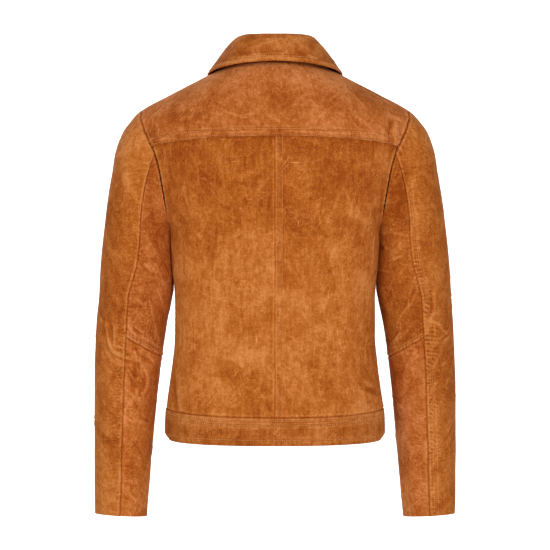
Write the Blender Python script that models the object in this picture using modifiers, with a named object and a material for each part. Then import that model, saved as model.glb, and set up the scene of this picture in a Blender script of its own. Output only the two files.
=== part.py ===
"""Suede jacket, waist length, with a turned-down collar, a back yoke and two-piece sleeves.

It is built as worn, hollow, with its buttoned front closed. Frame: +X is the wearer's left,
-Y the front, +Z up. The origin is the middle of the neck opening, level with the points
where the shoulder seams meet the collar. Sizes are in millimetres and degrees, and MM
turns them into metres when a mesh is made.

Every panel is a wall: a grid of points on its outer surface, and the same grid moved in by
the thickness of the suede. The body's outer surface is one formula, body(), whose
horizontal sections come from BODY_SECTIONS. The sleeves run from the armhole seam, which
lies on that surface, through the rings of SLEEVE_SECTIONS.
"""
import math

import bmesh
import bpy
import numpy as np

MM = 0.001

# Thickness of the walls, and the gap left at every seam.
PANEL_WALL = 1.8
BAND_WALL = 2.6
COLLAR_WALL = 2.4
SEAM_GAP = 0.3

# Body: horizontal sections from the neck down. A section is flat across the middle and
# turns into the side; fullness is how squarely it turns (0.4 square, 0.9 nearly pointed).
BODY_COLUMNS = ("height", "half_width", "back", "front", "fullness")
BODY_SECTIONS = (
    (0, 76, 62, 52, 0.62),
    (-23, 120, 75, 64, 0.74),
    (-46, 165, 86, 74, 0.82),
    (-70, 208.8, 95, 85, 0.85),
    (-85, 225, 99.5, 92, 0.80),
    (-100, 227, 103, 98, 0.75),
    (-119, 220, 108, 106, 0.70),
    (-137, 211, 111, 111, 0.65),
    (-156, 202, 113.5, 116, 0.60),
    (-182, 190, 115, 121, 0.53),
    (-212, 177.5, 113, 124, 0.48),
    (-239, 166, 109.5, 122, 0.44),
    (-255, 160.5, 107.5, 120, 0.42),
    (-278, 158.6, 104, 117, 0.40),
    (-318, 156.3, 99, 112, 0.40),
    (-360, 153.4, 95, 107, 0.40),
    (-415, 153.4, 95, 105, 0.40),
    (-452, 156.8, 99, 107, 0.40),
    (-489, 161.5, 105, 111, 0.40),
    (-526, 166.2, 111, 115, 0.37),
    (-580, 167.8, 115, 118, 0.34),
)
FLATNESS = 2.5
CENTRE, SIDE = 0.0, math.pi / 2
BACK, FRONT = 1, -1

# Armhole: an oval in side view, from the shoulder tip to the underarm point.
ARMHOLE_TOP = -70.0
ARMHOLE_BOTTOM = -255.0
ARMHOLE_REACH = {BACK: 54.0, FRONT: 52.0}

# Seams on the body.
YOKE_CENTRE = -116.0
YOKE_END_ANGLE = 67.4
YOKE_DROP_POWER = 1.6
NECK_HALF_WIDTH = 76.0
NECK_FRONT = -65.0
HEM_CENTRE = -572.5
HEM_SIDE_LIFT = 2.0
BAND_HEIGHT = 41.0
BAND_SIDE_GROWTH = 4.5
BAND_PROUD = 0.8
BAND_BELLY = 1.0

# Front closure: the right front laps over the left one.
LAP = 15.0
LAP_CORNER_DROP = 1.5
LAP_STEP = 3.2
LAP_FULL = 19.0
LAP_CLEAR = 34.0
BUTTON_COUNT = 6
BUTTON_TOP = -86.0
BUTTON_RADIUS = 8.5
BUTTON_RIM = 1.6
BUTTON_THICK = 3.2
BUTTON_DISH = 0.9

# Sleeve: rings below the cap. Outer and inner are the x of the ring's two sides, forward is
# how far its middle lies in front of the shoulder, lift is how much higher the outer side is,
# tilt is how much higher the back is, and seam_around is where the back seam runs, in degrees
# from the outer side to the back.
SLEEVE_COLUMNS = ("height", "outer", "inner", "forward", "half_depth", "lift", "tilt", "seam_around")
SLEEVE_SECTIONS = (
    (-230, 261.0, 161.0, 1, 60, 35, 0, 98),
    (-265, 265.0, 160.6, 2, 60, 35, 0, 97),
    (-304, 269.0, 157.9, 3, 59, 34, 0, 93),
    (-341, 271.2, 155.8, 5, 57, 33, 0, 88),
    (-359, 272.6, 158.9, 7, 56, 32, 0, 86),
    (-396, 276.0, 166.4, 10, 55, 31, 0, 88),
    (-433, 278.0, 172.6, 13, 54, 30, 0, 90),
    (-470, 279.8, 177.6, 17, 52, 24, 0, 91),
    (-507, 280.4, 182.4, 21, 50, 18, 0, 92),
    (-581, 281.4, 189.6, 30, 45, 9, 0.6, 92),
    (-655, 282.0, 196.6, 40, 40, 4, 2.2, 93),
    (-705, 282.6, 201.6, 47, 38, 2, 3.2, 93),
)
CAP_RING = -265.0
ELBOW_SEAM = -416.0
CUFF = -697.0
CAP_BULGE = (50.0, 0.0, 80.0)
BACK_SEAM_ANGLE = 75.0
FRONT_SEAM_STEPS = 2

# Soft folds pressed into the sleeves about the elbow: where each lies (degrees round the
# sleeve from its outer side towards the back, and height), its length, width, slope and rise.
FOLD_COLUMNS = ("arm", "around", "height", "length", "width", "slope", "rise")
SLEEVE_FOLDS = (
    (1, 60, -428, 34, 8, -22, 2.2),
    (1, 74, -444, 30, 9, -16, -2.4),
    (1, 118, -462, 26, 10, 58, -2.6),
    (1, 146, -448, 24, 9, 66, 2.0),
    (1, 40, -402, 30, 9, 62, 1.6),
    (1, 100, -396, 40, 9, -30, 1.8),
    (-1, 128, -414, 30, 9, -48, 2.2),
    (-1, 112, -392, 28, 9, -56, -2.4),
    (-1, 48, -386, 30, 9, 30, 2.0),
    (-1, 62, -368, 26, 9, 54, -2.0),
    (-1, 70, -446, 36, 10, -14, 1.8),
    (-1, 120, -462, 30, 10, 24, -2.0),
    (1, 250, -420, 44, 12, 18, 2.2),
    (1, 236, -444, 40, 12, 14, -2.4),
    (-1, 246, -412, 44, 12, 20, 2.2),
    (-1, 240, -438, 40, 12, 12, -2.4),
)

# Collar: stations from the centre back (0) past the shoulder seam (1) to the centre front (2).
# The stand leans towards the neck by lean and rises by rise; the fall's edge lies at
# (edge_x, edge_y, edge_height), and crown is how far the roll stands out at the fold.
COLLAR_COLUMNS = ("station", "lean", "rise", "crown", "edge_x", "edge_y", "edge_height")
COLLAR_SECTIONS = (
    (0.0, 9, 39, 12, 0, 86, -2),
    (0.33, 11, 40, 12, 43, 79, -4),
    (0.66, 17, 41, 12, 78, 56, -8),
    (1.0, 22, 41, 12, 102, 0, -13),
    (1.2, 22, 40, 14, 105, -22, -26),
    (1.4, 20, 37, 16, 102, -50, -52),
    (1.6, 16, 33, 17, 93, -77, -82),
    (1.8, 11, 27, 16, 79, -96, -107),
    (2.0, 6, 23, 14, 64, -108, -128),
)
COLLAR_CLEARANCE = 2.4

SUEDE = ((0.48, 0.137, 0.027), 0.92)
HORN = ((0.10, 0.035, 0.012), 0.35)


# ---------------------------------------------------------------- curves and surfaces

def smooth_curve(stations, values):
    """A smooth curve through the rows of a table that never overshoots them."""
    order = np.argsort(stations)
    at = np.asarray(stations, float)[order]
    value = np.asarray(values, float)[order]
    step = np.diff(at)
    slope = np.diff(value) / step
    tangent = np.zeros_like(value)
    tangent[0] = slope[0]
    tangent[-1] = slope[-1]
    same_way = slope[:-1] * slope[1:] > 0
    total = np.where(same_way, slope[:-1] + slope[1:], 1.0)
    tangent[1:-1] = np.where(same_way, 2 * slope[:-1] * slope[1:] / total, 0.0)

    def curve(station):
        station = np.clip(station, at[0], at[-1])
        k = np.clip(np.searchsorted(at, station, side="right") - 1, 0, len(step) - 1)
        t = (station - at[k]) / step[k]
        rise = value[k + 1] - value[k]
        first = step[k] * tangent[k]
        last = step[k] * tangent[k + 1]
        return value[k] + t * (first + t * ((3 * rise - 2 * first - last) + t * (first + last - 2 * rise)))

    return curve


def table_curves(columns, rows):
    """One smooth curve for each named column of a table, over its first column."""
    stations = [row[0] for row in rows]
    return {name: smooth_curve(stations, [row[k] for row in rows])
            for k, name in enumerate(columns) if k > 0}


BODY = table_curves(BODY_COLUMNS, BODY_SECTIONS)
SLEEVE = table_curves(SLEEVE_COLUMNS, SLEEVE_SECTIONS)
COLLAR = table_curves(COLLAR_COLUMNS, COLLAR_SECTIONS)


def unit(vectors):
    return vectors / np.linalg.norm(vectors, axis=-1, keepdims=True)


def mirrored(points):
    return points * np.array((-1.0, 1.0, 1.0))


def smoothstep(value):
    value = np.clip(value, 0.0, 1.0)
    return value * value * (3 - 2 * value)


def depth_of(height, face):
    return BODY["back"](height) if face == BACK else BODY["front"](height)


def body(turn, height, face):
    """The body's outer surface: turn runs from the centre line (0) to the side (90 degrees)."""
    turn, height = np.broadcast_arrays(turn, height)
    across = np.sign(turn) * np.abs(np.sin(turn)) ** (2 / FLATNESS)
    inward = np.clip(np.cos(turn), 0.0, 1.0) ** (2 * BODY["fullness"](height))
    x = BODY["half_width"](height) * across
    y = face * depth_of(height, face) * inward
    return np.stack([x, y, height], axis=-1)


def outsideness(points):
    """Zero on the body's surface, growing outwards."""
    x, y, height = points[..., 0], points[..., 1], points[..., 2]
    depth = np.where(y >= 0, BODY["back"](height), BODY["front"](height))
    across = (np.abs(x) / BODY["half_width"](height)) ** FLATNESS
    inward = (np.abs(y) / depth) ** (1 / BODY["fullness"](height))
    return across + inward - 1


def body_slope(points):
    """Gradient of outsideness, by central differences."""
    small = 0.05
    parts = []
    for axis in range(3):
        shift = np.zeros(3)
        shift[axis] = small
        parts.append((outsideness(points + shift) - outsideness(points - shift)) / (2 * small))
    return np.stack(parts, axis=-1)


def body_normal(points):
    return unit(body_slope(points))


def lifted(points, clearance):
    """The points, moved out where needed so that they clear the body's surface."""
    for _ in range(6):
        slope = body_slope(points)
        size = np.linalg.norm(slope, axis=-1)
        distance = outsideness(points) / size
        short = np.clip(clearance - distance, 0.0, 8.0)
        points = points + slope / size[..., None] * short[..., None]
    return points


def turn_at(x, height):
    """The turn at which the body's section at that height reaches x."""
    share = np.clip(np.abs(x) / BODY["half_width"](height), 0.0, 1.0)
    return np.sign(x) * np.arcsin(share ** (FLATNESS / 2))


def armhole(angle, face):
    """Turn and height of the armhole seam, from the shoulder tip (0) to the underarm (180)."""
    angle = np.radians(angle)
    middle = (ARMHOLE_TOP + ARMHOLE_BOTTOM) / 2
    half = (ARMHOLE_TOP - ARMHOLE_BOTTOM) / 2
    height = middle + half * np.cos(angle)
    reach = ARMHOLE_REACH[face] * np.sin(angle)
    share = np.clip(reach / depth_of(height, face), 0.0, 1.0)
    return np.arccos(share ** (0.5 / BODY["fullness"](height))), height


def hem_height(turn):
    return HEM_CENTRE + HEM_SIDE_LIFT * np.sin(np.abs(turn)) ** 2


def band_height(turn):
    return BAND_HEIGHT + BAND_SIDE_GROWTH * np.sin(np.abs(turn)) ** 2


def band_seam(turn):
    return hem_height(turn) + band_height(turn)


# ---------------------------------------------------------------- rows of the panels

ARMHOLE_ANGLES = np.concatenate([
    np.linspace(0, YOKE_END_ANGLE, 6),
    np.linspace(BACK_SEAM_ANGLE, 180, 7),
])
YOKE_STEP = 5
SIDE_ROWS = (-285, -318, -355, -395, -435, -472, -502)
SHOULDER_COLUMNS = 5
NECK_BACK_COLUMNS = 7
BACK_COLUMNS = SHOULDER_COLUMNS + NECK_BACK_COLUMNS
FRONT_COLUMNS = 12
BAND_ROWS = 4


def whole(half):
    """Join the left half of a grid to its mirror image at the centre."""
    return np.concatenate([half, mirrored(half)[:, -2::-1]], axis=1)


def yoke_seam(shares):
    """Turn and height of the yoke seam, a little lower at the armhole than at the centre."""
    turn_end, end_height = armhole(YOKE_END_ANGLE, BACK)
    height = YOKE_CENTRE + (end_height - YOKE_CENTRE) * shares ** YOKE_DROP_POWER
    return np.stack([shares * turn_end, height], axis=-1)


def back_grid():
    """The left back panel from the yoke seam down to the waistband."""
    shares = np.linspace(0, 1, BACK_COLUMNS + 1)
    seam = yoke_seam(shares)
    rows = [body(seam[:, 0], seam[:, 1], BACK)]
    for angle in ARMHOLE_ANGLES[YOKE_STEP + 1:]:
        turn_end, height = armhole(angle, BACK)
        rows.append(body(shares * turn_end, height, BACK))
    for height in SIDE_ROWS:
        rows.append(body(shares * SIDE, height, BACK))
    rows.append(body(shares * SIDE, band_seam(shares * SIDE), BACK))
    return np.array(rows)


def patch(top, bottom, start, end):
    """Points spread evenly between four edges, each a row of (turn, height) pairs."""
    across = np.linspace(0, 1, len(top))[None, :, None]
    down = np.linspace(0, 1, len(start))[:, None, None]
    between = top * (1 - down) + bottom * down + start[:, None] * (1 - across) + end[:, None] * across
    corners = (top[0] * (1 - across) + top[-1] * across) * (1 - down)
    corners = corners + (bottom[0] * (1 - across) + bottom[-1] * across) * down
    return between - corners


def yoke_grid():
    """The yoke from the neckline and shoulder seams down to the yoke seam, full width."""
    shoulder = np.linspace(ARMHOLE_TOP, 0, SHOULDER_COLUMNS + 1)
    neck = np.linspace(SIDE, 0, NECK_BACK_COLUMNS + 1)[1:]
    top = [(SIDE, height) for height in shoulder] + [(turn, 0.0) for turn in neck]
    bottom = yoke_seam(np.linspace(1, 0, len(top)))
    start = np.stack(armhole(ARMHOLE_ANGLES[:YOKE_STEP + 1], BACK), axis=-1)
    end = [(0.0, height) for height in np.linspace(0, YOKE_CENTRE, YOKE_STEP + 1)]
    place = patch(np.array(top), bottom, start, np.array(end))
    return whole(body(place[..., 0], place[..., 1], BACK))


def neckline(share):
    """Turn and height of the front neckline, from the shoulder seam (0) to the centre (1)."""
    angle = share ** NECK_SPREAD * math.pi / 2
    height = NECK_FRONT * np.sin(angle)
    return turn_at(NECK_HALF_WIDTH * np.cos(angle), height), height


NECK_STEPS = 5
NECK_SPREAD = 1.6


def front_turns(turn_start, turn_end, height):
    """Turns along a row of the front; a row that has the lap also has its two fold lines."""
    if np.all(turn_start > 0):
        return turn_start + np.linspace(0, 1, FRONT_COLUMNS + 1) * (turn_end - turn_start)
    lap_lines = [turn_start, turn_at(LAP_FULL, height), turn_at(LAP_CLEAR, height)]
    rest = np.linspace(0, 1, FRONT_COLUMNS - 1)[1:] * (turn_end - lap_lines[-1])
    return np.concatenate([lap_lines, lap_lines[-1] + rest])


def front_grid():
    """The left front, from the shoulder seam down to the waistband, centre edge first."""
    shares = np.linspace(0, 1, FRONT_COLUMNS + 1)
    ends = [armhole(angle, FRONT) for angle in ARMHOLE_ANGLES]
    starts = [neckline(k / NECK_STEPS) for k in range(NECK_STEPS + 1)]
    starts[0] = (SIDE, 0.0)
    lower = len(ends) - len(starts)
    neck_corner = NECK_FRONT - LAP_CORNER_DROP
    for height in np.linspace(neck_corner, ARMHOLE_BOTTOM, lower):
        starts.append((turn_at(-LAP, height), height))
    for height in SIDE_ROWS:
        starts.append((turn_at(-LAP, height), height))
        ends.append((SIDE, height))
    rows = []
    for (turn_start, start), (turn_end, end) in zip(starts, ends):
        turn = front_turns(turn_start, turn_end, start)
        height = start + shares * (end - start)
        rows.append(body(turn, height, FRONT))
    turn = front_turns(turn_at(-LAP, HEM_CENTRE + BAND_HEIGHT), SIDE, HEM_CENTRE + BAND_HEIGHT)
    rows.append(body(turn, band_seam(turn), FRONT))
    return np.array(rows)


def band_grid(turn, face):
    """A stretch of waistband, slightly rounded between its two seams."""
    rows = []
    for share in np.linspace(0, 1, BAND_ROWS):
        points = body(turn, band_seam(turn) - share * band_height(turn), face)
        bulge = BAND_PROUD + BAND_BELLY * math.sin(math.pi * share)
        rows.append(points + body_normal(points) * bulge)
    return np.array(rows)


# ---------------------------------------------------------------- sleeves

def sleeve_ring(height, around):
    """One ring of the sleeve; around is 0 at the outer side and 90 degrees at the back."""
    height, around = np.broadcast_arrays(height, around)
    lift = SLEEVE["lift"](height)
    outer = SLEEVE["outer"](height + lift)
    inner = SLEEVE["inner"](height - lift)
    x = (outer + inner) / 2 + (outer - inner) / 2 * np.cos(around)
    y = SLEEVE["half_depth"](height) * np.sin(around) - SLEEVE["forward"](height)
    rise = lift * np.cos(around) + SLEEVE["tilt"](height) * np.sin(around)
    return np.stack([x, y, height + rise], axis=-1)


def around_at(height):
    """Where the columns that start at the armhole's points lie round the sleeve's ring."""
    seam = SLEEVE["seam_around"](height)
    back = np.radians(np.interp(ARMHOLE_ANGLES, (0, BACK_SEAM_ANGLE, 180), (0, seam, 180)))
    return np.concatenate([back, 2 * math.pi - back[-2:0:-1]])


def sleeve_loop():
    """The armhole seam as a closed loop, back half first."""
    back = body(*armhole(ARMHOLE_ANGLES, BACK), BACK)
    front = body(*armhole(ARMHOLE_ANGLES[-2:0:-1], FRONT), FRONT)
    return np.concatenate([back, front])


CAP_STEPS = np.array([0.0, 0.12, 0.27, 0.44, 0.62, 0.81, 1.0])
UPPER_RINGS = (-288, -312, -336, -356, -374, -390, -404)
LOWER_RINGS = (-428, -440, -453, -468, -486, -510, -540, -575, -615, -657)


def sleeve_cap(loop):
    """Rows from the armhole seam to the first ring, each column one smooth curve."""
    around = around_at(CAP_RING)
    ring = sleeve_ring(CAP_RING, around)
    along = unit(sleeve_ring(CAP_RING - 1, around) - ring)
    chord = ring - loop
    bulge = np.array(CAP_BULGE) * ((1 + np.cos(around)) / 2)[:, None]
    leave = chord + bulge
    arrive = along * np.linalg.norm(chord, axis=-1, keepdims=True)
    rows = []
    for t in CAP_STEPS:
        rows.append(loop * (2 * t ** 3 - 3 * t ** 2 + 1) + leave * (t ** 3 - 2 * t ** 2 + t)
                    + ring * (3 * t ** 2 - 2 * t ** 3) + arrive * (t ** 3 - t ** 2))
    return rows


def fold_rise(points, around, arm):
    """How far the folds about the elbow push the sleeve's surface out or in."""
    rise = np.zeros(points.shape[:-1])
    for fold_arm, fold_around, height, length, width, slope, depth in SLEEVE_FOLDS:
        if fold_arm != arm:
            continue
        radius = SLEEVE["half_depth"](height)
        turned = (around - math.radians(fold_around) + math.pi) % (2 * math.pi) - math.pi
        across = radius * turned
        down = height - points[..., 2]
        lean = math.radians(slope)
        lengthwise = across * math.cos(lean) - down * math.sin(lean)
        crosswise = across * math.sin(lean) + down * math.cos(lean)
        rise += depth * np.exp(-(lengthwise / length) ** 2 - (crosswise / width) ** 2)
    return rise


def grid_normal(points, closed=False):
    """Outward normals of a grid whose rows run down and whose columns run towards the back."""
    if closed:
        along = np.roll(points, -1, axis=1) - np.roll(points, 1, axis=1)
    else:
        along = np.gradient(points, axis=1)
    return unit(np.cross(np.gradient(points, axis=0), along))


def sleeve_grid(arm):
    """Outer points of the left sleeve, with the folds of the given arm, and their normals."""
    rows = sleeve_cap(sleeve_loop())
    around = [around_at(CAP_RING)] * len(rows)
    for height in UPPER_RINGS + (ELBOW_SEAM,) + LOWER_RINGS + (CUFF,):
        around.append(around_at(height))
        rows.append(sleeve_ring(height, around[-1]))
    points = np.array(rows)
    normal = grid_normal(points, closed=True)
    points = points + normal * fold_rise(points, np.array(around), arm)[..., None]
    return points, grid_normal(points, closed=True)


ELBOW_ROW = len(CAP_STEPS) + len(UPPER_RINGS)


def armhole_rims(sleeve_normal):
    """Directions in which the body's and the sleeve's edges are moved in at the armhole.

    Where the two surfaces meet nearly flush, as over the shoulder, both use one mitre.
    """
    body_in = -body_normal(sleeve_loop())
    sleeve_in = -sleeve_normal
    together = np.sum(body_in * sleeve_in, axis=-1, keepdims=True)
    share = smoothstep((together - 0.1) / 0.4)
    mitre = unit(body_in + sleeve_in + 1e-9)

    def rim(own):
        direction = unit(own * (1 - share) + mitre * share)
        return direction / np.sum(direction * own, axis=-1, keepdims=True)

    return rim(body_in), rim(sleeve_in)


# ---------------------------------------------------------------- walls

def inset(points, edges):
    """Draw the named edges of a grid back by half a seam gap, so that panels never touch."""
    moved = points.copy()
    ends = {"top": ((0,), (1,)), "bottom": ((-1,), (-2,)),
            "start": ((slice(None), 0), (slice(None), 1)),
            "end": ((slice(None), -1), (slice(None), -2))}
    for edge in edges:
        place, neighbour = ends[edge]
        moved[place] = moved[place] + unit(points[neighbour] - points[place]) * SEAM_GAP / 2
    return moved


def make_material(name, colour, roughness):
    material = bpy.data.materials.get(name)
    if material is None:
        material = bpy.data.materials.new(name)
        material.use_nodes = True
        shader = material.node_tree.nodes["Principled BSDF"]
        shader.inputs["Base Color"].default_value = (*colour, 1.0)
        shader.inputs["Roughness"].default_value = roughness
    return material


def add_object(name, mesh, material):
    jacket = bpy.data.objects.new(name, mesh)
    mesh.materials.append(material)
    bpy.data.collections["suede_jacket"].objects.link(jacket)
    return jacket


def make_wall(name, outer, inner):
    """A closed panel between its outer and inner grids of points."""
    rows, columns = outer.shape[:2]
    mesh = bpy.data.meshes.new(name)
    shell = bmesh.new()
    layers = []
    for points in (outer, inner):
        layers.append([[shell.verts.new(points[i, j] * MM) for j in range(columns)] for i in range(rows)])
    front, behind = layers
    for i in range(rows - 1):
        for j in range(columns - 1):
            for layer in layers:
                shell.faces.new((layer[i][j], layer[i + 1][j], layer[i + 1][j + 1], layer[i][j + 1]))
    border = [(0, j) for j in range(columns)] + [(i, columns - 1) for i in range(1, rows)]
    border += [(rows - 1, j) for j in range(columns - 2, -1, -1)] + [(i, 0) for i in range(rows - 2, 0, -1)]
    for (i, j), (k, m) in zip(border, border[1:] + border[:1]):
        shell.faces.new((front[i][j], front[k][m], behind[k][m], behind[i][j]))
    bmesh.ops.recalc_face_normals(shell, faces=shell.faces)
    shell.to_mesh(mesh)
    shell.free()
    mesh.shade_smooth()
    mesh.set_sharp_from_angle(angle=math.radians(40))
    return add_object(name, mesh, make_material("suede", *SUEDE))


def make_pair(base, outer, inner):
    """The left panel and its mirror image on the right."""
    make_wall(base + "_left", outer, inner)
    make_wall(base + "_right", mirrored(outer), mirrored(inner))


# ---------------------------------------------------------------- the jacket's pieces

def armhole_walls(outer_grid, rims, rows, column):
    """Inward directions of a body panel, with the armhole's mitred rim on one column."""
    inward = -body_normal(outer_grid)
    inward[rows, column] = rims
    return inward


def make_backs(rim):
    grid = back_grid()
    last = len(ARMHOLE_ANGLES) - 1
    count = last - YOKE_STEP
    inward = armhole_walls(grid, rim[YOKE_STEP:last], slice(0, count), -1)
    outer = inset(grid, ("top", "bottom", "start", "end"))
    make_pair("back", outer, outer + inward * PANEL_WALL)


def make_yoke(rim):
    grid = yoke_grid()
    inward = armhole_walls(grid, rim[:YOKE_STEP + 1], slice(None), 0)
    inward[:, -1] = mirrored(rim[:YOKE_STEP + 1])
    outer = inset(grid, ("top", "bottom", "start", "end"))
    make_wall("back_yoke", outer, outer + inward * PANEL_WALL)


def lap_rise(x):
    """How far the right front stands out where it laps over the left one."""
    return LAP_STEP * smoothstep((LAP_CLEAR - np.abs(x)) / (LAP_CLEAR - LAP_FULL))


def make_fronts(rim):
    grid = front_grid()
    last = len(ARMHOLE_ANGLES) - 1
    front_rim = np.concatenate([rim[:1], rim[:last:-1]])
    inward = armhole_walls(grid, front_rim, slice(0, last), -1)
    outer = inset(grid, ("top", "bottom", "start", "end"))
    make_wall("front_left", outer, outer + inward * PANEL_WALL)
    right = outer - inward * lap_rise(outer[..., 0])[..., None]
    make_wall("front_right", mirrored(right), mirrored(right + inward * PANEL_WALL))


def make_waistband():
    back = band_grid(np.linspace(SIDE, -SIDE, 2 * BACK_COLUMNS + 1), BACK)
    outer = inset(back, ("top", "start", "end"))
    make_wall("waistband_back", outer, outer - body_normal(back) * BAND_WALL)
    seam = HEM_CENTRE + BAND_HEIGHT
    front = band_grid(front_turns(turn_at(-LAP, seam), SIDE, seam), FRONT)
    outer = inset(front, ("top", "end"))
    normal = body_normal(front)
    make_wall("waistband_left", outer, outer - normal * BAND_WALL)
    right = outer + normal * lap_rise(outer[..., 0])[..., None]
    make_wall("waistband_right", mirrored(right), mirrored(right - normal * BAND_WALL))


def make_sleeve(arm, suffix):
    """The two-piece sleeve: an upper sleeve, and an under sleeve cut across at the elbow."""
    grid, normal = sleeve_grid(arm)
    _, sleeve_rim = armhole_rims(normal[0])
    inward = -normal
    inward[0] = sleeve_rim
    count = grid.shape[1]
    back_seam = YOKE_STEP + 1
    front_seam = count - back_seam - FRONT_SEAM_STEPS
    under = np.arange(back_seam, front_seam + 1)
    upper = np.arange(front_seam, count + back_seam + 1) % count
    pieces = {
        "sleeve_upper": (slice(None), upper, ("top", "start", "end")),
        "sleeve_under_arm": (slice(0, ELBOW_ROW + 1), under, ("top", "bottom", "start", "end")),
        "sleeve_under_forearm": (slice(ELBOW_ROW, None), under, ("top", "start", "end")),
    }
    for name, (rows, columns, edges) in pieces.items():
        outer = inset(grid[rows][:, columns], edges)
        inner = outer + inward[rows][:, columns] * PANEL_WALL
        if arm < 0:
            outer, inner = mirrored(outer), mirrored(inner)
        make_wall(name + suffix, outer, inner)


COLLAR_STATIONS = np.concatenate([np.linspace(2, 1, NECK_STEPS + 1),
                                  np.linspace(1, 0, NECK_BACK_COLUMNS + 1)[1:]])
CROWN_RISE = 6.5
STAND_ROWS = 3
FALL_ROWS = 9
LOW_ROWS = slice(6, None)


def neck_edge(station):
    """The neckline at a collar station, on the body's surface."""
    if station <= 1:
        return body(station * SIDE, 0.0, BACK)
    turn, height = neckline(station - 1)
    return body(turn, height, FRONT)


def collar_line(station):
    """Neckline, fold and edge of the left half of the collar at one station."""
    bottom = neck_edge(station)
    outwards = unit(bottom * np.array((1.0, 1.0, 0.0)))
    up = np.array((0.0, 0.0, 1.0))
    fold = bottom - outwards * COLLAR["lean"](station) + up * COLLAR["rise"](station)
    edge = np.array([COLLAR[name](station) for name in ("edge_x", "edge_y", "edge_height")])
    return bottom, fold, edge, outwards, up


def stand_grid():
    rows = []
    for share in np.linspace(1, 0, STAND_ROWS):
        row = []
        for station in COLLAR_STATIONS:
            bottom, fold, _, _, _ = collar_line(station)
            row.append(bottom + (fold - bottom) * share)
        rows.append(row)
    return whole(np.array(rows))


def fall_grid():
    """Underside of the fall: it rolls over the top of the stand and drops to its edge."""
    rows = []
    for share in np.linspace(0, 1, FALL_ROWS) ** 1.3:
        row = []
        for station in COLLAR_STATIONS:
            _, fold, edge, outwards, up = collar_line(station)
            top = fold - outwards * COLLAR_WALL + up * SEAM_GAP
            crown = top + outwards * COLLAR["crown"](station) + up * CROWN_RISE
            row.append(top * (1 - share) ** 2 + crown * 2 * share * (1 - share) + edge * share ** 2)
        rows.append(row)
    return whole(np.array(rows))


def make_collar():
    stand = stand_grid()
    normal = grid_normal(stand)
    outer = inset(stand, ("bottom", "start", "end"))
    make_wall("collar_stand", outer, outer - normal * COLLAR_WALL)
    under = fall_grid()
    low = under[LOW_ROWS]
    under[LOW_ROWS] = lifted(low, COLLAR_CLEARANCE + lap_rise(low[..., 0]))
    normal = grid_normal(under)
    under = inset(under, ("start", "end"))
    make_wall("collar_fall", under + normal * COLLAR_WALL, under)


def make_buttons():
    """Turned buttons down the centre front, the lowest on the waistband."""
    lowest = HEM_CENTRE + BAND_HEIGHT / 2
    radius, thick = BUTTON_RADIUS, BUTTON_THICK
    profile = ((0.0, thick - BUTTON_DISH), (radius - BUTTON_RIM - 1.0, thick - BUTTON_DISH),
               (radius - BUTTON_RIM, thick), (radius - 0.5, thick), (radius, thick - 0.6),
               (radius, 1.0), (radius - 1.2, 0.0), (0.0, 0.0))
    mesh = bpy.data.meshes.new("button")
    points = [(x * MM, 0.0, z * MM) for x, z in profile]
    mesh.from_pydata(points, [(k, k + 1) for k in range(len(points) - 1)], [])
    for k, height in enumerate(np.linspace(BUTTON_TOP, lowest, BUTTON_COUNT)):
        place = body(0.0, height, FRONT)
        normal = body_normal(place)
        proud = LAP_STEP + SEAM_GAP
        if k == BUTTON_COUNT - 1:
            proud += BAND_PROUD + BAND_BELLY
        button = add_object(f"button_{k + 1}", mesh.copy(), make_material("horn", *HORN))
        button.location = (place + normal * proud) * MM
        button.rotation_euler = (math.atan2(-normal[1], normal[2]), 0.0, 0.0)
        turn = button.modifiers.new("turn", "SCREW")
        turn.axis = "Z"
        turn.steps = turn.render_steps = 16
        turn.use_merge_vertices = True
        turn.merge_threshold = 0.00001


def main():
    for old in list(bpy.data.objects):
        bpy.data.objects.remove(old, do_unlink=True)
    collection = bpy.data.collections.new("suede_jacket")
    bpy.context.scene.collection.children.link(collection)
    _, plain_normal = sleeve_grid(0)
    body_rim, _ = armhole_rims(plain_normal[0])
    make_backs(body_rim)
    make_yoke(body_rim)
    make_fronts(body_rim)
    make_waistband()
    make_collar()
    make_sleeve(1, "_left")
    make_sleeve(-1, "_right")
    make_buttons()


main()
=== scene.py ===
"""Looks of the suede jacket: fine cloth shells, sewing, folds, and the worn nap with painted light
and shade.

Frame: +X is the wearer's left, -Y the front, +Z up, with the origin in the middle of the neck
opening. Sizes are in millimetres and degrees, and MM turns them into metres when a mesh is
made. The jacket's surfaces come from the same formulas and tables as the solids. Here every
panel is a fine grid on them, and sewing, puckers and folds lift or lower the grid's points.
"""
import math

import bpy
import numpy as np
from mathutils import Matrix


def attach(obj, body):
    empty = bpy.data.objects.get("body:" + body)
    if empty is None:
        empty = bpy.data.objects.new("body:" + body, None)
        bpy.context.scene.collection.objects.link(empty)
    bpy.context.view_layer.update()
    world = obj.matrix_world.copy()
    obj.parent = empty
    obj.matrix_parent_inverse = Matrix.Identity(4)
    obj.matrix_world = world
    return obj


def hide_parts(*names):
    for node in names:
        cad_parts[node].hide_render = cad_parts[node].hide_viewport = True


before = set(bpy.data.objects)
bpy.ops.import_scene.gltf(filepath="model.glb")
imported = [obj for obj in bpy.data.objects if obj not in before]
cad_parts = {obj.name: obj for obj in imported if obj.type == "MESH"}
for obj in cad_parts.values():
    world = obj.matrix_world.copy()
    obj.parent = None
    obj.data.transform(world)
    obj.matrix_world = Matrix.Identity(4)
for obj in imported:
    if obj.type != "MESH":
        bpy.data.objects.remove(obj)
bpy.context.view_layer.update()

MM = 0.001

# ---------------- sizes of the jacket

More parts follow.
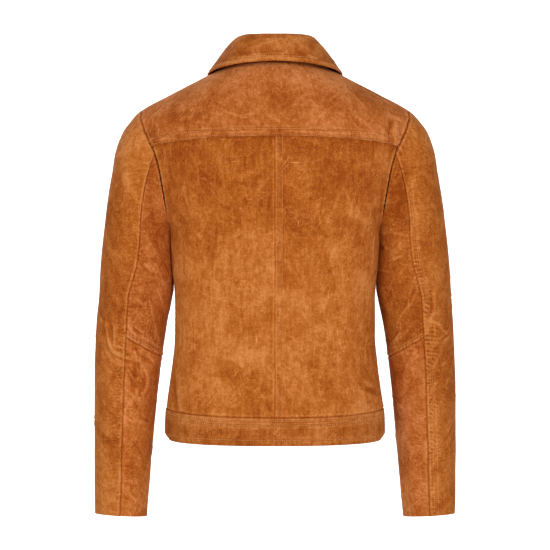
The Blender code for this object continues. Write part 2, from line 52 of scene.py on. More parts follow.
BODY_COLUMNS = ("height", "half_width", "back", "front", "fullness")
BODY_SECTIONS = (
    (0, 76, 62, 52, 0.62),
    (-23, 120, 75, 64, 0.74),
    (-46, 165, 86, 74, 0.82),
    (-70, 208.8, 95, 85, 0.85),
    (-85, 225, 99.5, 92, 0.80),
    (-100, 227, 103, 98, 0.75),
    (-119, 220, 108, 106, 0.70),
    (-137, 211, 111, 111, 0.65),
    (-156, 202, 113.5, 116, 0.60),
    (-182, 190, 115, 121, 0.53),
    (-212, 177.5, 113, 124, 0.48),
    (-239, 166, 109.5, 122, 0.44),
    (-255, 160.5, 107.5, 120, 0.42),
    (-278, 158.6, 104, 117, 0.40),
    (-318, 156.3, 99, 112, 0.40),
    (-360, 153.4, 95, 107, 0.40),
    (-415, 153.4, 95, 105, 0.40),
    (-452, 156.8, 99, 107, 0.40),
    (-489, 161.5, 105, 111, 0.40),
    (-526, 166.2, 111, 115, 0.37),
    (-580, 167.8, 115, 118, 0.34),
)
FLATNESS = 2.5
SIDE = math.pi / 2
BACK, FRONT = 1, -1

ARMHOLE_TOP = -70.0
ARMHOLE_BOTTOM = -255.0
ARMHOLE_REACH = {BACK: 54.0, FRONT: 52.0}
YOKE_CENTRE = -116.0
YOKE_END_ANGLE = 67.4
YOKE_DROP_POWER = 1.6
YOKE_SHOULDER_SHARE = 5 / 12
YOKE_BLEND = 60.0
NECK_HALF_WIDTH = 76.0
NECK_FRONT = -65.0
NECK_SPREAD = 1.6
HEM_CENTRE = -572.5
HEM_SIDE_LIFT = 2.0
BAND_HEIGHT = 41.0
BAND_SIDE_GROWTH = 4.5
BAND_PROUD = 0.8
BAND_BELLY = 1.0
BACK_BAND_BLEND = 40.0
FRONT_BAND_BLEND = 30.0

LAP = 15.0
LAP_CORNER_DROP = 1.5
LAP_STEP = 3.2
LAP_FULL = 19.0
LAP_CLEAR = 34.0
BUTTON_COUNT = 6
BUTTON_TOP = -86.0

SLEEVE_COLUMNS = ("height", "outer", "inner", "forward", "half_depth", "lift", "tilt",
                  "seam_around")
SLEEVE_SECTIONS = (
    (-230, 261.0, 161.0, 1, 60, 35, 0, 98),
    (-265, 265.0, 160.6, 2, 60, 35, 0, 97),
    (-304, 269.0, 157.9, 3, 59, 34, 0, 93),
    (-341, 271.2, 155.8, 5, 57, 33, 0, 88),
    (-359, 272.6, 158.9, 7, 56, 32, 0, 86),
    (-396, 276.0, 166.4, 10, 55, 31, 0, 88),
    (-433, 278.0, 172.6, 13, 54, 30, 0, 90),
    (-470, 279.8, 177.6, 17, 52, 24, 0, 91),
    (-507, 280.4, 182.4, 21, 50, 18, 0, 92),
    (-581, 281.4, 189.6, 30, 45, 9, 0.6, 92),
    (-655, 282.0, 196.6, 40, 40, 4, 2.2, 93),
    (-705, 282.6, 201.6, 47, 38, 2, 3.2, 93),
)
CAP_RING = -265.0
ELBOW_SEAM = -416.0
CUFF = -697.0
ELBOW_ROW = 1 + (ELBOW_SEAM - CAP_RING) / (CUFF - CAP_RING)
CAP_BULGE = (50.0, 0.0, 80.0)
BACK_SEAM_ANGLE = 75.0
FRONT_SEAM_ANGLE = 116.87

# The large folds about the elbows, of the left arm (1) and the right (-1): where their middles
# lie, as an angle round the sleeve and a height, how long and wide they are, how they slope, and
# how far they rise. Angles are taken as if the sleeve were FOLD_HALF_WIDTH wide on either side.
FOLD_HALF_WIDTH = 52.0
FOLD_COLUMNS = ("arm", "around", "height", "length", "width", "slope", "rise")
SLEEVE_FOLDS = (
    (1, 60, -428, 34, 8, -22, 2.2),
    (1, 74, -444, 30, 9, -16, -2.4),
    (1, 118, -462, 26, 10, 58, -2.6),
    (1, 146, -448, 24, 9, 66, 2.0),
    (1, 40, -402, 30, 9, 62, 1.6),
    (1, 100, -396, 40, 9, -30, 1.8),
    (-1, 128, -414, 30, 9, -48, 2.2),
    (-1, 112, -392, 28, 9, -56, -2.4),
    (-1, 48, -386, 30, 9, 30, 2.0),
    (-1, 62, -368, 26, 9, 54, -2.0),
    (-1, 70, -446, 36, 10, -14, 1.8),
    (-1, 120, -462, 30, 10, 24, -2.0),
    (1, 250, -420, 44, 12, 18, 2.2),
    (1, 236, -444, 40, 12, 14, -2.4),
    (-1, 246, -412, 44, 12, 20, 2.2),
    (-1, 240, -438, 40, 12, 12, -2.4),
)

COLLAR_COLUMNS = ("station", "lean", "rise", "crown", "edge_x", "edge_y", "edge_height")
COLLAR_SECTIONS = (
    (0.0, 9, 39, 12, 0, 86, -2),
    (0.33, 11, 40, 12, 43, 79, -4),
    (0.66, 17, 41, 12, 78, 56, -8),
    (1.0, 22, 41, 12, 102, 0, -13),
    (1.2, 22, 40, 14, 105, -22, -26),
    (1.4, 20, 37, 16, 102, -50, -52),
    (1.6, 16, 33, 17, 93, -77, -82),
    (1.8, 11, 27, 16, 79, -96, -107),
    (2.0, 6, 23, 14, 64, -108, -128),
)
COLLAR_CLEARANCE = 1.0
LIFT_ROUNDS = 6
LIFT_LIMIT = 8.0
COLLAR_LOW_SHARE = 0.62
COLLAR_DROP = 6.0
COLLAR_BACK = 75.0
COLLAR_WALL = 2.4
CROWN_RISE = 6.5
SEAM_GAP = 0.3

# ---------------- sizes of the looks

CLOTH = 1.4
BAND_CLOTH = 2.4
COLLAR_CLOTH = 2.3

# The edges of a panel's grid: its first and last column, and its first and last row. The steps
# between its columns and rows are close together at a sewn or folded edge.
EDGES = ("start", "end", "top", "bottom")
EDGE_STEPS = np.array([0.0, 0.3, 0.8, 1.5, 2.4, 3.5, 4.8])
PANEL_STEP = 2.3
FRONT_STEP = 3.0
SLEEVE_STEP = 1.6
BAND_STEP = 1.9
STAND_STEP = 2.0
FALL_STEP = 1.9
FALL_CROWDING = 1.12
ROW_SAMPLES = 321
ARMHOLE_SAMPLES = 240
SIDE_SAMPLES = 120
FRONT_SAMPLES = 600

# About how wide and long the pieces are, which sets how many columns and rows their grids have.
BACK_WIDTH, BACK_LENGTH = 185, 415
YOKE_HALF_WIDTH, YOKE_LENGTH = 196, 116
FRONT_WIDTH, FRONT_LENGTH = 190, 560
BAND_BACK_WIDTH, BAND_SIDE_WIDTH = 430, 250
STAND_WIDTH, STAND_LENGTH = 420, 44
FALL_WIDTH, FALL_LENGTH = 560, 78

# The sleeves' pieces: the armhole angles and the rows that they lie between, about how long their
# cap and the whole of them are, and how wide, and the first and last steps between columns.
BACK_SEAM, FRONT_SEAM = BACK_SEAM_ANGLE, 360 - FRONT_SEAM_ANGLE
SLEEVE_PIECE_COLUMNS = (
    "name", "first", "last", "top", "bottom", "cap", "length", "width", "step", "last_step")
SLEEVE_PIECES = (
    ("upper", FRONT_SEAM, 360 + BACK_SEAM, 0.0, 2.0, 150, 580, 215, 3.4, 2.0),
    ("under_arm", BACK_SEAM, FRONT_SEAM, 0.0, ELBOW_ROW, 60, 215, 130, 1.4, 2.0),
    ("under_forearm", BACK_SEAM, FRONT_SEAM, ELBOW_ROW, 2.0, 0, 285, 115, 2.3, 2.3),
)

BACK_ARMHOLE_LENGTH = 150
FRONT_ARMHOLE_LENGTH = 225
# Places along an edge that lie beyond both ends of every edge.
BEFORE_START, PAST_END = -50.0, 2000.0

TUCK = 4.0
TUCK_START = 2.4
TUCK_DEPTH = 1.1
HEM_ROUNDING = 6.5
HEM_ROUNDING_HEIGHT = 13.0
HEM_ROUNDING_REACH = 70.0
SLEEVE_LIE = 0.9
CAP_FULLNESS = 2.6
SHOULDER_CALM = 0.95
SHOULDER_REACH = 15.0
UNDERARM_LOW, UNDERARM_HIGH, UNDERARM_FADE = -338.0, -225.0, 34.0
UNDERARM_SLEEVE_REST = 3.4
UNDERARM_BODY_REST = 1.2
FOLDED_EDGE_ROUNDING = 0.92

# The groove that a stitched line pulls into the cloth, and the swelling on both sides of it.
GROOVE_DEPTH = 0.75
GROOVE_HALF_WIDTH = 1.15
SWELLING_RISE = 0.35
SWELLING_INSET = 2.6
SWELLING_HALF_WIDTH = 1.5

# How much relief colours the nap: what stands proud is rubbed light, and what is sunk is painted
# darker as painted shade: seam dips, stitched grooves and the troughs of creases and puckers.
RIDGE_WEAR = 0.75
DIP_SHADE = 1.1
GROOVE_SHADE = 0.75
SWELLING_WEAR = 0.50
PUCKER_SHADE_AND_WEAR = 0.9
CREASE_SHADE_AND_WEAR = 0.95
PRESSED_RIDGE_SHADE_AND_WEAR = 0.62
PRESSED_TROUGH_SHADE = 0.25

STITCH_PITCH = 3.3
STITCH_LENGTH = 2.3
STITCH_RADIUS = 0.42
STITCH_SIDES = 5
STITCH_FLATNESS = 0.8
STITCH_LIFT = 0.15
# The rings of points of one stitch: where they lie along it, their size and their height.
STITCH_COLUMNS = ("share", "size", "lift")
STITCH_RINGS = ((-1.0, 0.45, -0.35), (-0.45, 1.05, 0.38), (0.45, 1.05, 0.38), (1.0, 0.45, -0.35))
SHORTEST_LINE = 8
TUBE_SIDES = 8

# Outlines of a button and of the rim of its holes, as radius and height, to be turned.
BUTTON_OUTLINE = (
    (0.01, 2.1), (2.2, 2.12), (4.4, 2.2), (5.6, 2.55), (6.4, 3.05), (7.1, 3.2), (7.8, 3.1),
    (8.3, 2.7), (8.5, 2.0), (8.4, 1.1), (7.8, 0.4), (6.8, 0.05), (0.01, 0.0),
)
HOLE_OUTLINE = ((0.9, 2.16), (1.125, 2.24), (1.35, 2.10))
HOLE_OFFSET = 1.7
HOLE_PLACES = (-HOLE_OFFSET, HOLE_OFFSET)
BUTTON_STEPS = 48
HOLE_STEPS = 16
BUTTON_THREAD_POINTS = 9
BUTTON_THREAD_RADIUS = 0.33
BUTTON_THREAD_SHIFTS = (-0.28, 0.28)
BUTTON_THREAD_LOW = 2.15
BUTTON_THREAD_RISE = 0.55
BUTTONHOLE_SHIFT = 2.0
BUTTONHOLE_HALF = 11.0
BUTTONHOLE_SLIT = 1.5
BUTTONHOLE_HEIGHT = 0.2
BUTTONHOLE_THREAD_RADIUS = 0.65
BUTTONHOLE_POINTS = 41

# Creases pressed in, for each piece or sleeve as seen from its back or front: where each
# one runs on the jacket (x and z of both ends), how far it bows sideways, its width and its rise.
CREASE_COLUMNS = ("x0", "z0", "x1", "z1", "bow", "width", "rise")
CREASES = {
    ("sleeve_left", BACK): (
        # about the elbow
        (257, -386, 253, -420, 1, 2.0, 1.1),
        (253, -418, 246, -439, 1, 2.0, 1.6),
        (247, -438, 211, -451, 1, 1.9, 1.9),
        (244, -398, 244, -428, 0, 1.8, 1.4),
        (244, -429, 227, -432, 0, 1.8, 1.3),
        (249, -396, 249, -430, 0, 2.8, -1.3),
        (242, -435.5, 226, -436.5, 0, 1.8, -1.4),
        (242, -425, 228, -426, 0, 1.8, -1.1),
        (206, -452, 208, -512, -13, 2.4, 1.8),
        (214, -456, 215, -500, -3, 5.0, -2.4),
        (204.5, -450, 200, -480, 1, 2.0, 1.3),
        (219, -470, 206, -492, 1, 2.0, 1.2),
        (220, -458, 209, -474, 0, 1.8, 1.1),
        (216, -426, 204, -438, 1, 3.0, -1.6),
        (209, -431, 198, -443, 1, 2.0, 1.2),
        (220, -415, 207, -424, 0, 1.8, 1.4),
        (222, -398, 208, -413, 1, 2.0, 1.6),
        (210, -400, 199, -409, 0, 2.0, 1.6),
        (215, -398, 203, -412, 0, 1.8, -1.3),
        (199, -416, 174, -434, 0, 1.8, 1.3),
        (196, -438, 186, -452, 1, 3.0, 1.0),
        (214, -510, 205, -530, 2, 4.0, -1.3),
        # under the arm
        (222, -400, 205, -417, 2, 2.4, 1.2),
        (210, -401, 192, -421, 3, 2.4, 1.0),
        (196, -252, 170, -262, 3, 3.0, -1.0),
        (200, -300, 172, -318, 3, 3.0, 0.8),
        # upper arm
        (226, -160, 205, -205, 5, 9.0, 1.2),
        (244, -230, 226, -262, 4, 8.0, -1.0),
        (196, -268, 178, -292, 3, 8.0, 1.1),
        # forearm
        (270, -545, 240, -566, 3, 9.0, 0.9),
        (262, -618, 236, -628, 3, 9.0, -0.8),
    ),
    ("sleeve_right", BACK): (
        # about the elbow
        (-193, -407, -179, -424, 1, 1.9, 1.4),
        (-179, -423, -176, -434, 0, 1.8, 1.2),
        (-197, -414, -184, -434, 1, 3.2, -1.1),
        (-210, -370, -194, -396, 2, 4.2, -2.1),
        (-207, -362, -187, -390, 1, 2.2, 0.9),
        (-240, -342, -241.5, -372, -1, 2.0, 1.5),
        (-241.5, -370, -232, -389, -2, 2.0, 1.7),
        (-232, -389, -254, -398, 0, 2.0, 1.6),
        (-241.5, -396, -242.5, -418, 0, 1.9, 1.3),
        (-245, -394, -264, -413, 1, 1.9, 1.1),
        (-246, -418, -263, -408, 1, 1.9, 1.0),
        (-237, -397, -237, -420, 0, 2.6, -1.2),
        (-236, -348, -236.5, -376, 0, 2.6, -1.1),
        (-186, -322, -193, -312, 1, 3.2, 1.0),
        (-199, -356, -206, -342, 1, 3.0, 0.9),
        (-160, -272, -166, -284, 1, 3.6, -1.8),
        (-164, -268, -173, -282, 1, 3.0, 1.2),
        # under the arm
        (-157, -284, -170, -275, 1, 2.4, -1.5),
        (-172, -300, -197, -287, 2, 2.2, 1.0),
        (-157, -310, -178, -316, 2, 2.2, 0.9),
        (-167, -246, -200, -242, 2, 3.0, -1.2),
        (-165, -257, -197, -262, -2, 2.4, 0.9),
        (-178, -374, -213, -336, 3, 3.6, -1.4),
        (-182, -424, -209, -390, 3, 2.4, 1.2),
        (-189, -363, -205, -341, 3, 2.4, 0.9),
        # upper arm
        (-224, -156, -206, -200, 5, 9.0, 1.2),
        (-247, -236, -228, -270, 4, 8.0, -1.0),
        (-196, -262, -176, -300, 3, 8.0, 1.2),
        # forearm
        (-268, -516, -240, -540, 3, 9.0, 0.9),
        (-212, -590, -236, -604, 3, 9.0, -0.8),
    ),
    ("sleeve_left", FRONT): (
        # front of the elbow
        (268, -380, 214, -404, 4, 6.0, 1.8),
        (262, -408, 196, -436, 5, 6.0, -2.0),
        (256, -446, 200, -462, 4, 5.0, 1.5),
        (246, -300, 190, -330, 5, 9.0, 1.3),
    ),
    ("sleeve_right", FRONT): (
        # front of the elbow
        (-266, -390, -206, -410, 4, 6.0, 1.9),
        (-258, -420, -192, -442, 5, 6.0, -2.0),
        (-262, -458, -206, -470, 4, 5.0, 1.3),
        (-240, -286, -186, -322, 5, 9.0, 1.4),
    ),
    ("back_right", BACK): (
        (-136, -484, -156, -502, 2, 3.6, -2.0),
        (-132, -478, -150, -490, 2, 4.0, 1.2),
        (-128, -150, -112, -250, 6, 13.0, 1.1),
        (-84, -330, -98, -450, 8, 20.0, -1.1),
        (-60, -522, -30, -450, 4, 12.0, 0.8),
    ),
    ("back_left", BACK): (
        (151, -478, 148, -524, 2, 3.4, -1.8),
        (144, -474, 141, -522, 2, 4.4, 1.3),
        (130, -150, 112, -240, 6, 13.0, 1.1),
        (96, -300, 70, -420, 8, 20.0, 1.2),
        (60, -520, 96, -470, 4, 12.0, 0.9),
    ),
    ("back_yoke", BACK): (
        (-183, -92, -181, -128, 1, 4.0, 1.8),
        (-174, -98, -172, -128, 1, 4.0, -1.2),
        (176, -98, 166, -126, 2, 5.0, 1.2),
        (70, -24, 130, -66, 6, 12.0, 0.9),
        (-74, -22, -126, -62, 6, 12.0, 0.8),
    ),
    ("front_left", FRONT): (
        (140, -200, 84, -262, 8, 12.0, 1.7),
        (132, -250, 92, -330, 8, 14.0, -1.3),
        (108, -380, 66, -500, 6, 16.0, 1.5),
    ),
    ("front_right", FRONT): (
        (-142, -196, -88, -250, 8, 12.0, 1.6),
        (-128, -256, -86, -340, 8, 14.0, -1.4),
        (-112, -390, -74, -505, 6, 16.0, 1.4),
    ),
}

# How each piece's colour differs from the jacket's: lighter or darker, and redder or yellower.
# The lightness is partly each piece's own tone and partly painted light and shade, as under the
# arms.
TONE_COLUMNS = ("light", "red")
TONES_AND_SHADING = {
    "back_yoke": (1.00, 0.35),
    "back_left": (1.00, -0.10),
    "back_right": (1.01, 0.00),
    "front_left": (1.00, 0.05),
    "front_right": (1.00, 0.00),
    "waistband_back": (0.90, 0.00),
    "waistband_left": (0.90, 0.00),
    "waistband_right": (0.90, 0.00),
    "collar_stand": (0.86, 0.10),
    "collar_fall": (0.96, 0.00),
    "sleeve_upper_left": (0.98, -0.10),
    "sleeve_upper_right": (0.97, -0.10),
    "sleeve_under_arm_left": (0.97, 0.40),
    "sleeve_under_arm_right": (0.92, -0.15),
    "sleeve_under_forearm_left": (1.06, 0.25),
    "sleeve_under_forearm_right": (1.00, 0.45),
}

# Painted light and shade by height: how much darker (below zero) or lighter (above zero) each
# piece is painted at these heights, such as the yoke's top lit against the collar's shadow and the
# pieces under the arms in shade; and the limit that all wear and painted shade together
# come close to.
SHADE_AND_WEAR_LIMIT = 0.50
# The inner faces are painted this much darker.
INSIDE_DARKENING = -0.25
PAINTED_SHADING_HEIGHTS = (-12, -45, -120, -220, -320, -420, -520, -640)
PAINTED_SHADING = {
    "back_yoke": (0.6, 0.05, -0.12, 0, 0, 0, 0, 0),
    "back_left": (0, 0, -0.42, -0.24, 0.22, 0.13, -0.05, 0),
    "back_right": (0, 0, -0.4, -0.2, 0.02, 0.06, 0.05, 0),
    "front_left": (0, 0, -0.3, -0.1, 0.1, 0.1, 0, 0),
    "front_right": (0, 0, -0.3, -0.12, 0.1, 0.1, 0, 0),
    "sleeve_upper_left": (0, 0, 0.22, -0.18, -0.22, -0.12, 0.04, 0.14),
    "sleeve_upper_right": (0, 0, 0.08, -0.08, -0.06, -0.2, -0.14, -0.05),
    "sleeve_under_arm_right": (0, 0, -0.42, -0.36, -0.38, -0.56, 0, 0),
    "sleeve_under_arm_left": (0, 0, -0.3, -0.16, -0.02, -0.18, 0, 0),
    "sleeve_under_forearm_right": (0, 0, 0, 0, 0, -0.12, 0.06, 0.1),
    "waistband_back": (0, 0, 0, 0, 0, 0, -0.08, -0.08),
}

# How strongly each piece is rubbed in patches a few centimetres wide.
RUBBED = {"back_yoke": 0.20, "collar_fall": 0.32, "waistband_back": 0.30,
          "back_left": 0.10, "back_right": 0.13}
RUBBED_ELSEWHERE = 0.16

# Light scratches in the nap: which way they lean from the upright, how fine they are, and how
# large the patches are that they come in.
SCRATCH_COLUMNS = ("lean", "scale", "patches")
SCRATCHES = (
    (4, 520, 34),
    (52, 480, 27),
    (-38, 500, 31),
    (86, 560, 23),
)

SUEDE_DARK = (0.270, 0.049, 0.003)
SUEDE_MIDDLE = (0.440, 0.117, 0.0150)
SUEDE_LIGHT = (0.625, 0.226, 0.062)

NOISE_CELLS = 60
FIRST_SEED = 31
SEED_STEP = 7


# ---------------- curves and surfaces

def smooth_curve(stations, values):
    """A smooth curve through the rows of a table that never overshoots them."""
    order = np.argsort(stations)
    at = np.asarray(stations, float)[order]
    value = np.asarray(values, float)[order]
    step = np.diff(at)
    slope = np.diff(value) / step
    tangent = np.zeros_like(value)
    tangent[0] = slope[0]
    tangent[-1] = slope[-1]
    same_way = slope[:-1] * slope[1:] > 0
    total = np.where(same_way, slope[:-1] + slope[1:], 1.0)
    tangent[1:-1] = np.where(same_way, 2 * slope[:-1] * slope[1:] / total, 0.0)

    def curve(station):
        station = np.clip(station, at[0], at[-1])
        k = np.clip(np.searchsorted(at, station, side="right") - 1, 0, len(step) - 1)
        t = (station - at[k]) / step[k]
        rise = value[k + 1] - value[k]
        first = step[k] * tangent[k]
        last = step[k] * tangent[k + 1]
        square = 3 * rise - 2 * first - last
        cube = first + last - 2 * rise
        return value[k] + t * (first + t * (square + t * cube))

    return curve


def named(columns, rows):
    """The rows of a table, each with its values under the columns' names."""
    return [dict(zip(columns, row)) for row in rows]


def table_curves(columns, rows):
    """One smooth curve for each named column of a table, over its first column."""
    stations = [row[0] for row in rows]
    return {name: smooth_curve(stations, [row[k] for row in rows])
            for k, name in enumerate(columns) if k > 0}


BODY = table_curves(BODY_COLUMNS, BODY_SECTIONS)
SLEEVE = table_curves(SLEEVE_COLUMNS, SLEEVE_SECTIONS)
COLLAR = table_curves(COLLAR_COLUMNS, COLLAR_SECTIONS)


def unit(vectors):
    return vectors / np.maximum(np.linalg.norm(vectors, axis=-1, keepdims=True), 1e-9)


def mirrored(points):
    return points * np.array((-1.0, 1.0, 1.0))


def smoothstep(value):
    value = np.clip(value, 0.0, 1.0)
    return value * value * (3 - 2 * value)


def bump(distance, width):
    return np.exp(-(distance / width) ** 2)


def travelled(points, axis):
    """Distance travelled along the rows or columns of a grid of points."""
    steps = np.linalg.norm(np.diff(points, axis=axis), axis=-1)
    start = np.zeros_like(steps.take([0], axis=axis))
    return np.concatenate([start, np.cumsum(steps, axis=axis)], axis=axis)


def body(turn, height, face):
    """The body's outer surface: turn runs from the centre line (0) to the side (90 degrees)."""
    turn, height = np.broadcast_arrays(turn, height)
    depth = BODY["back"](height) if face == BACK else BODY["front"](height)
    across = np.sign(turn) * np.abs(np.sin(turn)) ** (2 / FLATNESS)
    inward = np.clip(np.cos(turn), 0.0, 1.0) ** (2 * BODY["fullness"](height))
    return np.stack([BODY["half_width"](height) * across, face * depth * inward, height], axis=-1)


def outsideness(points):
    """Zero on the body's surface, growing outwards."""
    x, y, height = points[..., 0], points[..., 1], points[..., 2]
    depth = np.where(y >= 0, BODY["back"](height), BODY["front"](height))
    across = (np.abs(x) / BODY["half_width"](height)) ** FLATNESS
    inward = (np.abs(y) / depth) ** (1 / BODY["fullness"](height))
    return across + inward - 1


def body_slope(points):
    small = 0.05
    parts = []
    for axis in range(3):
        shift = np.zeros(3)
        shift[axis] = small
        parts.append((outsideness(points + shift) - outsideness(points - shift)) / (2 * small))
    return np.stack(parts, axis=-1)


def body_normal(points):
    return unit(body_slope(points))


def lifted(points, clearance):
    """The points, moved out where needed so that they clear the body's surface."""
    for _ in range(LIFT_ROUNDS):
        slope = body_slope(points)
        size = np.linalg.norm(slope, axis=-1)
        short = np.clip(clearance - outsideness(points) / size, 0.0, LIFT_LIMIT)
        points = points + slope / size[..., None] * short[..., None]
    return points


def turn_at(x, height):
    share = np.clip(np.abs(x) / BODY["half_width"](height), 0.0, 1.0)
    return np.sign(x) * np.arcsin(share ** (FLATNESS / 2))


def armhole(angle, face):
    """Turn and height of the armhole seam, from the shoulder tip (0) to the underarm (180)."""
    angle = np.radians(angle)
    middle = (ARMHOLE_TOP + ARMHOLE_BOTTOM) / 2
    half = (ARMHOLE_TOP - ARMHOLE_BOTTOM) / 2
    height = middle + half * np.cos(angle)
    depth = BODY["back"](height) if face == BACK else BODY["front"](height)
    share = np.clip(ARMHOLE_REACH[face] * np.sin(angle) / depth, 0.0, 1.0)
    return np.arccos(share ** (0.5 / BODY["fullness"](height))), height


def hem_height(turn):
    return HEM_CENTRE + HEM_SIDE_LIFT * np.sin(np.abs(turn)) ** 2


def band_height(turn):
    return BAND_HEIGHT + BAND_SIDE_GROWTH * np.sin(np.abs(turn)) ** 2


def band_seam(turn):
    return hem_height(turn) + band_height(turn)


def neckline(share):
    """Turn and height of the front neckline, from the shoulder seam (0) to the centre (1)."""
    angle = share ** NECK_SPREAD * math.pi / 2
    height = NECK_FRONT * np.sin(angle)
    return turn_at(NECK_HALF_WIDTH * np.cos(angle), height), height


# ---------------- the panels' surfaces

ARMHOLE_ANGLES = np.concatenate([
    np.linspace(0, YOKE_END_ANGLE, 6),
    np.linspace(BACK_SEAM_ANGLE, 180, 7),
])
SIDE_ROWS = (-285, -318, -355, -395, -435, -472, -502)
NECK_STEPS = 5


def even_share(edges, share):
    """Index along a row of edge points at which the given share of their length is reached."""
    length = np.mean([travelled(edge, 0) / travelled(edge, 0)[-1] for edge in edges], axis=0)
    return np.interp(share, length, np.arange(len(length)))


def along_table(values, index):
    return np.interp(index, np.arange(len(values)), values)


def back_surface():
    """Left back: across from the centre to the armhole and side, down from yoke to waistband."""
    turns, heights = armhole(np.linspace(YOKE_END_ANGLE, 180, ARMHOLE_SAMPLES), BACK)
    side = np.linspace(ARMHOLE_BOTTOM, band_seam(SIDE), SIDE_SAMPLES)[1:]
    turns = np.concatenate([turns, np.full(len(side), SIDE)])
    heights = np.concatenate([heights, side])
    edge = body(turns, heights, BACK)

    def surface(across, down):
        index = even_share([edge], down)
        turn = across * along_table(turns, index)
        height = along_table(heights, index)
        below_yoke = np.clip(1 - (heights[0] - height) / YOKE_BLEND, 0, 1)
        yoke_drop = (YOKE_CENTRE - heights[0]) * (1 - across ** YOKE_DROP_POWER)
        near_band = np.clip(1 - (height - heights[-1]) / BACK_BAND_BLEND, 0, 1)
        band_drop = band_seam(turn) - heights[-1]
        return body(turn, height + yoke_drop * below_yoke + band_drop * near_band, BACK)

    return surface


def yoke_surface():
    """Left half of the yoke: across from the armhole to the centre, down to the yoke seam."""
    end_turn, end_height = armhole(YOKE_END_ANGLE, BACK)

    def surface(across, down):
        across, down = np.broadcast_arrays(across, down)
        shoulder = np.clip(across / YOKE_SHOULDER_SHARE, 0, 1)
        neck = np.clip((across - YOKE_SHOULDER_SHARE) / (1 - YOKE_SHOULDER_SHARE), 0, 1)
        top = np.stack([SIDE * (1 - neck), ARMHOLE_TOP * (1 - shoulder)])
        away = 1 - across
        seam = YOKE_CENTRE + (end_height - YOKE_CENTRE) * away ** YOKE_DROP_POWER
        bottom = np.stack([away * end_turn, seam])
        start = np.stack(armhole(down * YOKE_END_ANGLE, BACK))
        end = np.stack([np.zeros_like(down), down * YOKE_CENTRE])
        corner = [np.array(place, float)[:, None, None] for place in (
            (SIDE, ARMHOLE_TOP), (0.0, 0.0), (end_turn, end_height), (0.0, YOKE_CENTRE))]
        place = top * (1 - down) + bottom * down + start * away + end * across
        place = place - (corner[0] * away + corner[1] * across) * (1 - down)
        place = place - (corner[2] * away + corner[3] * across) * down
        return body(place[0], place[1], BACK)

    return surface


def front_edges():
    """Turn and height down the left front's centre edge, then down its armhole and side."""
    rows = len(ARMHOLE_ANGLES) + len(SIDE_ROWS)
    k = np.linspace(0, rows, FRONT_SAMPLES)
    last_angle = len(ARMHOLE_ANGLES) - 1
    side = (ARMHOLE_BOTTOM,) + SIDE_ROWS + (HEM_CENTRE + BAND_HEIGHT,)
    angles = along_table(ARMHOLE_ANGLES, np.minimum(k, last_angle))
    end_turn, armhole_height = armhole(angles, FRONT)
    end_height = np.where(k > last_angle, along_table(side, k - last_angle), armhole_height)
    neck_turn, neck_height = neckline(np.clip(k / NECK_STEPS, 0, 1))
    lap_rows = (NECK_STEPS, NECK_STEPS + 1, last_angle)
    lap_heights = (NECK_FRONT, NECK_FRONT - LAP_CORNER_DROP, ARMHOLE_BOTTOM)
    lap_height = np.interp(k, lap_rows, lap_heights)
    lap_height = np.where(k > last_angle, end_height, lap_height)
    lap_turn = turn_at(-LAP * np.clip(k - NECK_STEPS, 0, 1), lap_height)
    start_turn = np.where(k <= NECK_STEPS, neck_turn, lap_turn)
    start_turn[0] = SIDE
    start_height = np.where(k <= NECK_STEPS, neck_height, lap_height)
    return start_turn, start_height, end_turn, end_height


def front_surface():
    """Left front: across from the centre edge to the armhole, down from the shoulder."""
    start_turn, start_height, end_turn, end_height = front_edges()
    edges = [body(start_turn, start_height, FRONT), body(end_turn, end_height, FRONT)]

    def surface(across, down):
        index = even_share(edges, down)
        first = along_table(start_turn, index)
        turn = first + across * (along_table(end_turn, index) - first)
        upper = along_table(start_height, index)
        height = upper + across * (along_table(end_height, index) - upper)
        near_band = np.clip(1 - (height - end_height[-1]) / FRONT_BAND_BLEND, 0, 1)
        return body(turn, height + (band_seam(turn) - end_height[-1]) * near_band, FRONT)

    return surface


def band_surface(first, last, face):
    """A stretch of the waistband between two turns, down from its seam to the hem."""
    def surface(across, down):
        turn = first + (last - first) * across
        points = body(turn, band_seam(turn) - down * band_height(turn), face)
        bulge = BAND_PROUD + BAND_BELLY * np.sin(math.pi * down)
        return points + body_normal(points) * (bulge + 0 * across)[..., None]

    return surface


def sleeve_ring(height, around):
    """Rings of the sleeve; around is 0 at the outer side and 90 degrees at the back."""
    lift = SLEEVE["lift"](height)
    outer = SLEEVE["outer"](height + lift)
    inner = SLEEVE["inner"](height - lift)
    x = (outer + inner) / 2 + (outer - inner) / 2 * np.cos(around)
    y = SLEEVE["half_depth"](height) * np.sin(around) - SLEEVE["forward"](height)
    rise = lift * np.cos(around) + SLEEVE["tilt"](height) * np.sin(around)
    return np.stack(np.broadcast_arrays(x, y, height + rise), axis=-1)


def around_ring(angle, height):
    """Place round the ring of the column that starts at this angle of the armhole."""
    seam = SLEEVE["seam_around"](height)
    turned = np.where(angle <= 180, angle, 360 - angle)
    above = turned / BACK_SEAM_ANGLE * seam
    below = seam + (turned - BACK_SEAM_ANGLE) / (180 - BACK_SEAM_ANGLE) * (180 - seam)
    place = np.radians(np.where(turned <= BACK_SEAM_ANGLE, above, below))
    return np.where(angle <= 180, place, 2 * math.pi - place)


def sleeve_around(points):
    """Where points of the left sleeve lie round it: 0 at the outer side, 90 degrees at the back."""
    height = points[..., 2]
    middle = (SLEEVE["outer"](height) + SLEEVE["inner"](height)) / 2
    across = (points[..., 0] - middle) / FOLD_HALF_WIDTH
    depth = (points[..., 1] + SLEEVE["forward"](height)) / SLEEVE["half_depth"](height)
    return np.arctan2(depth, across)


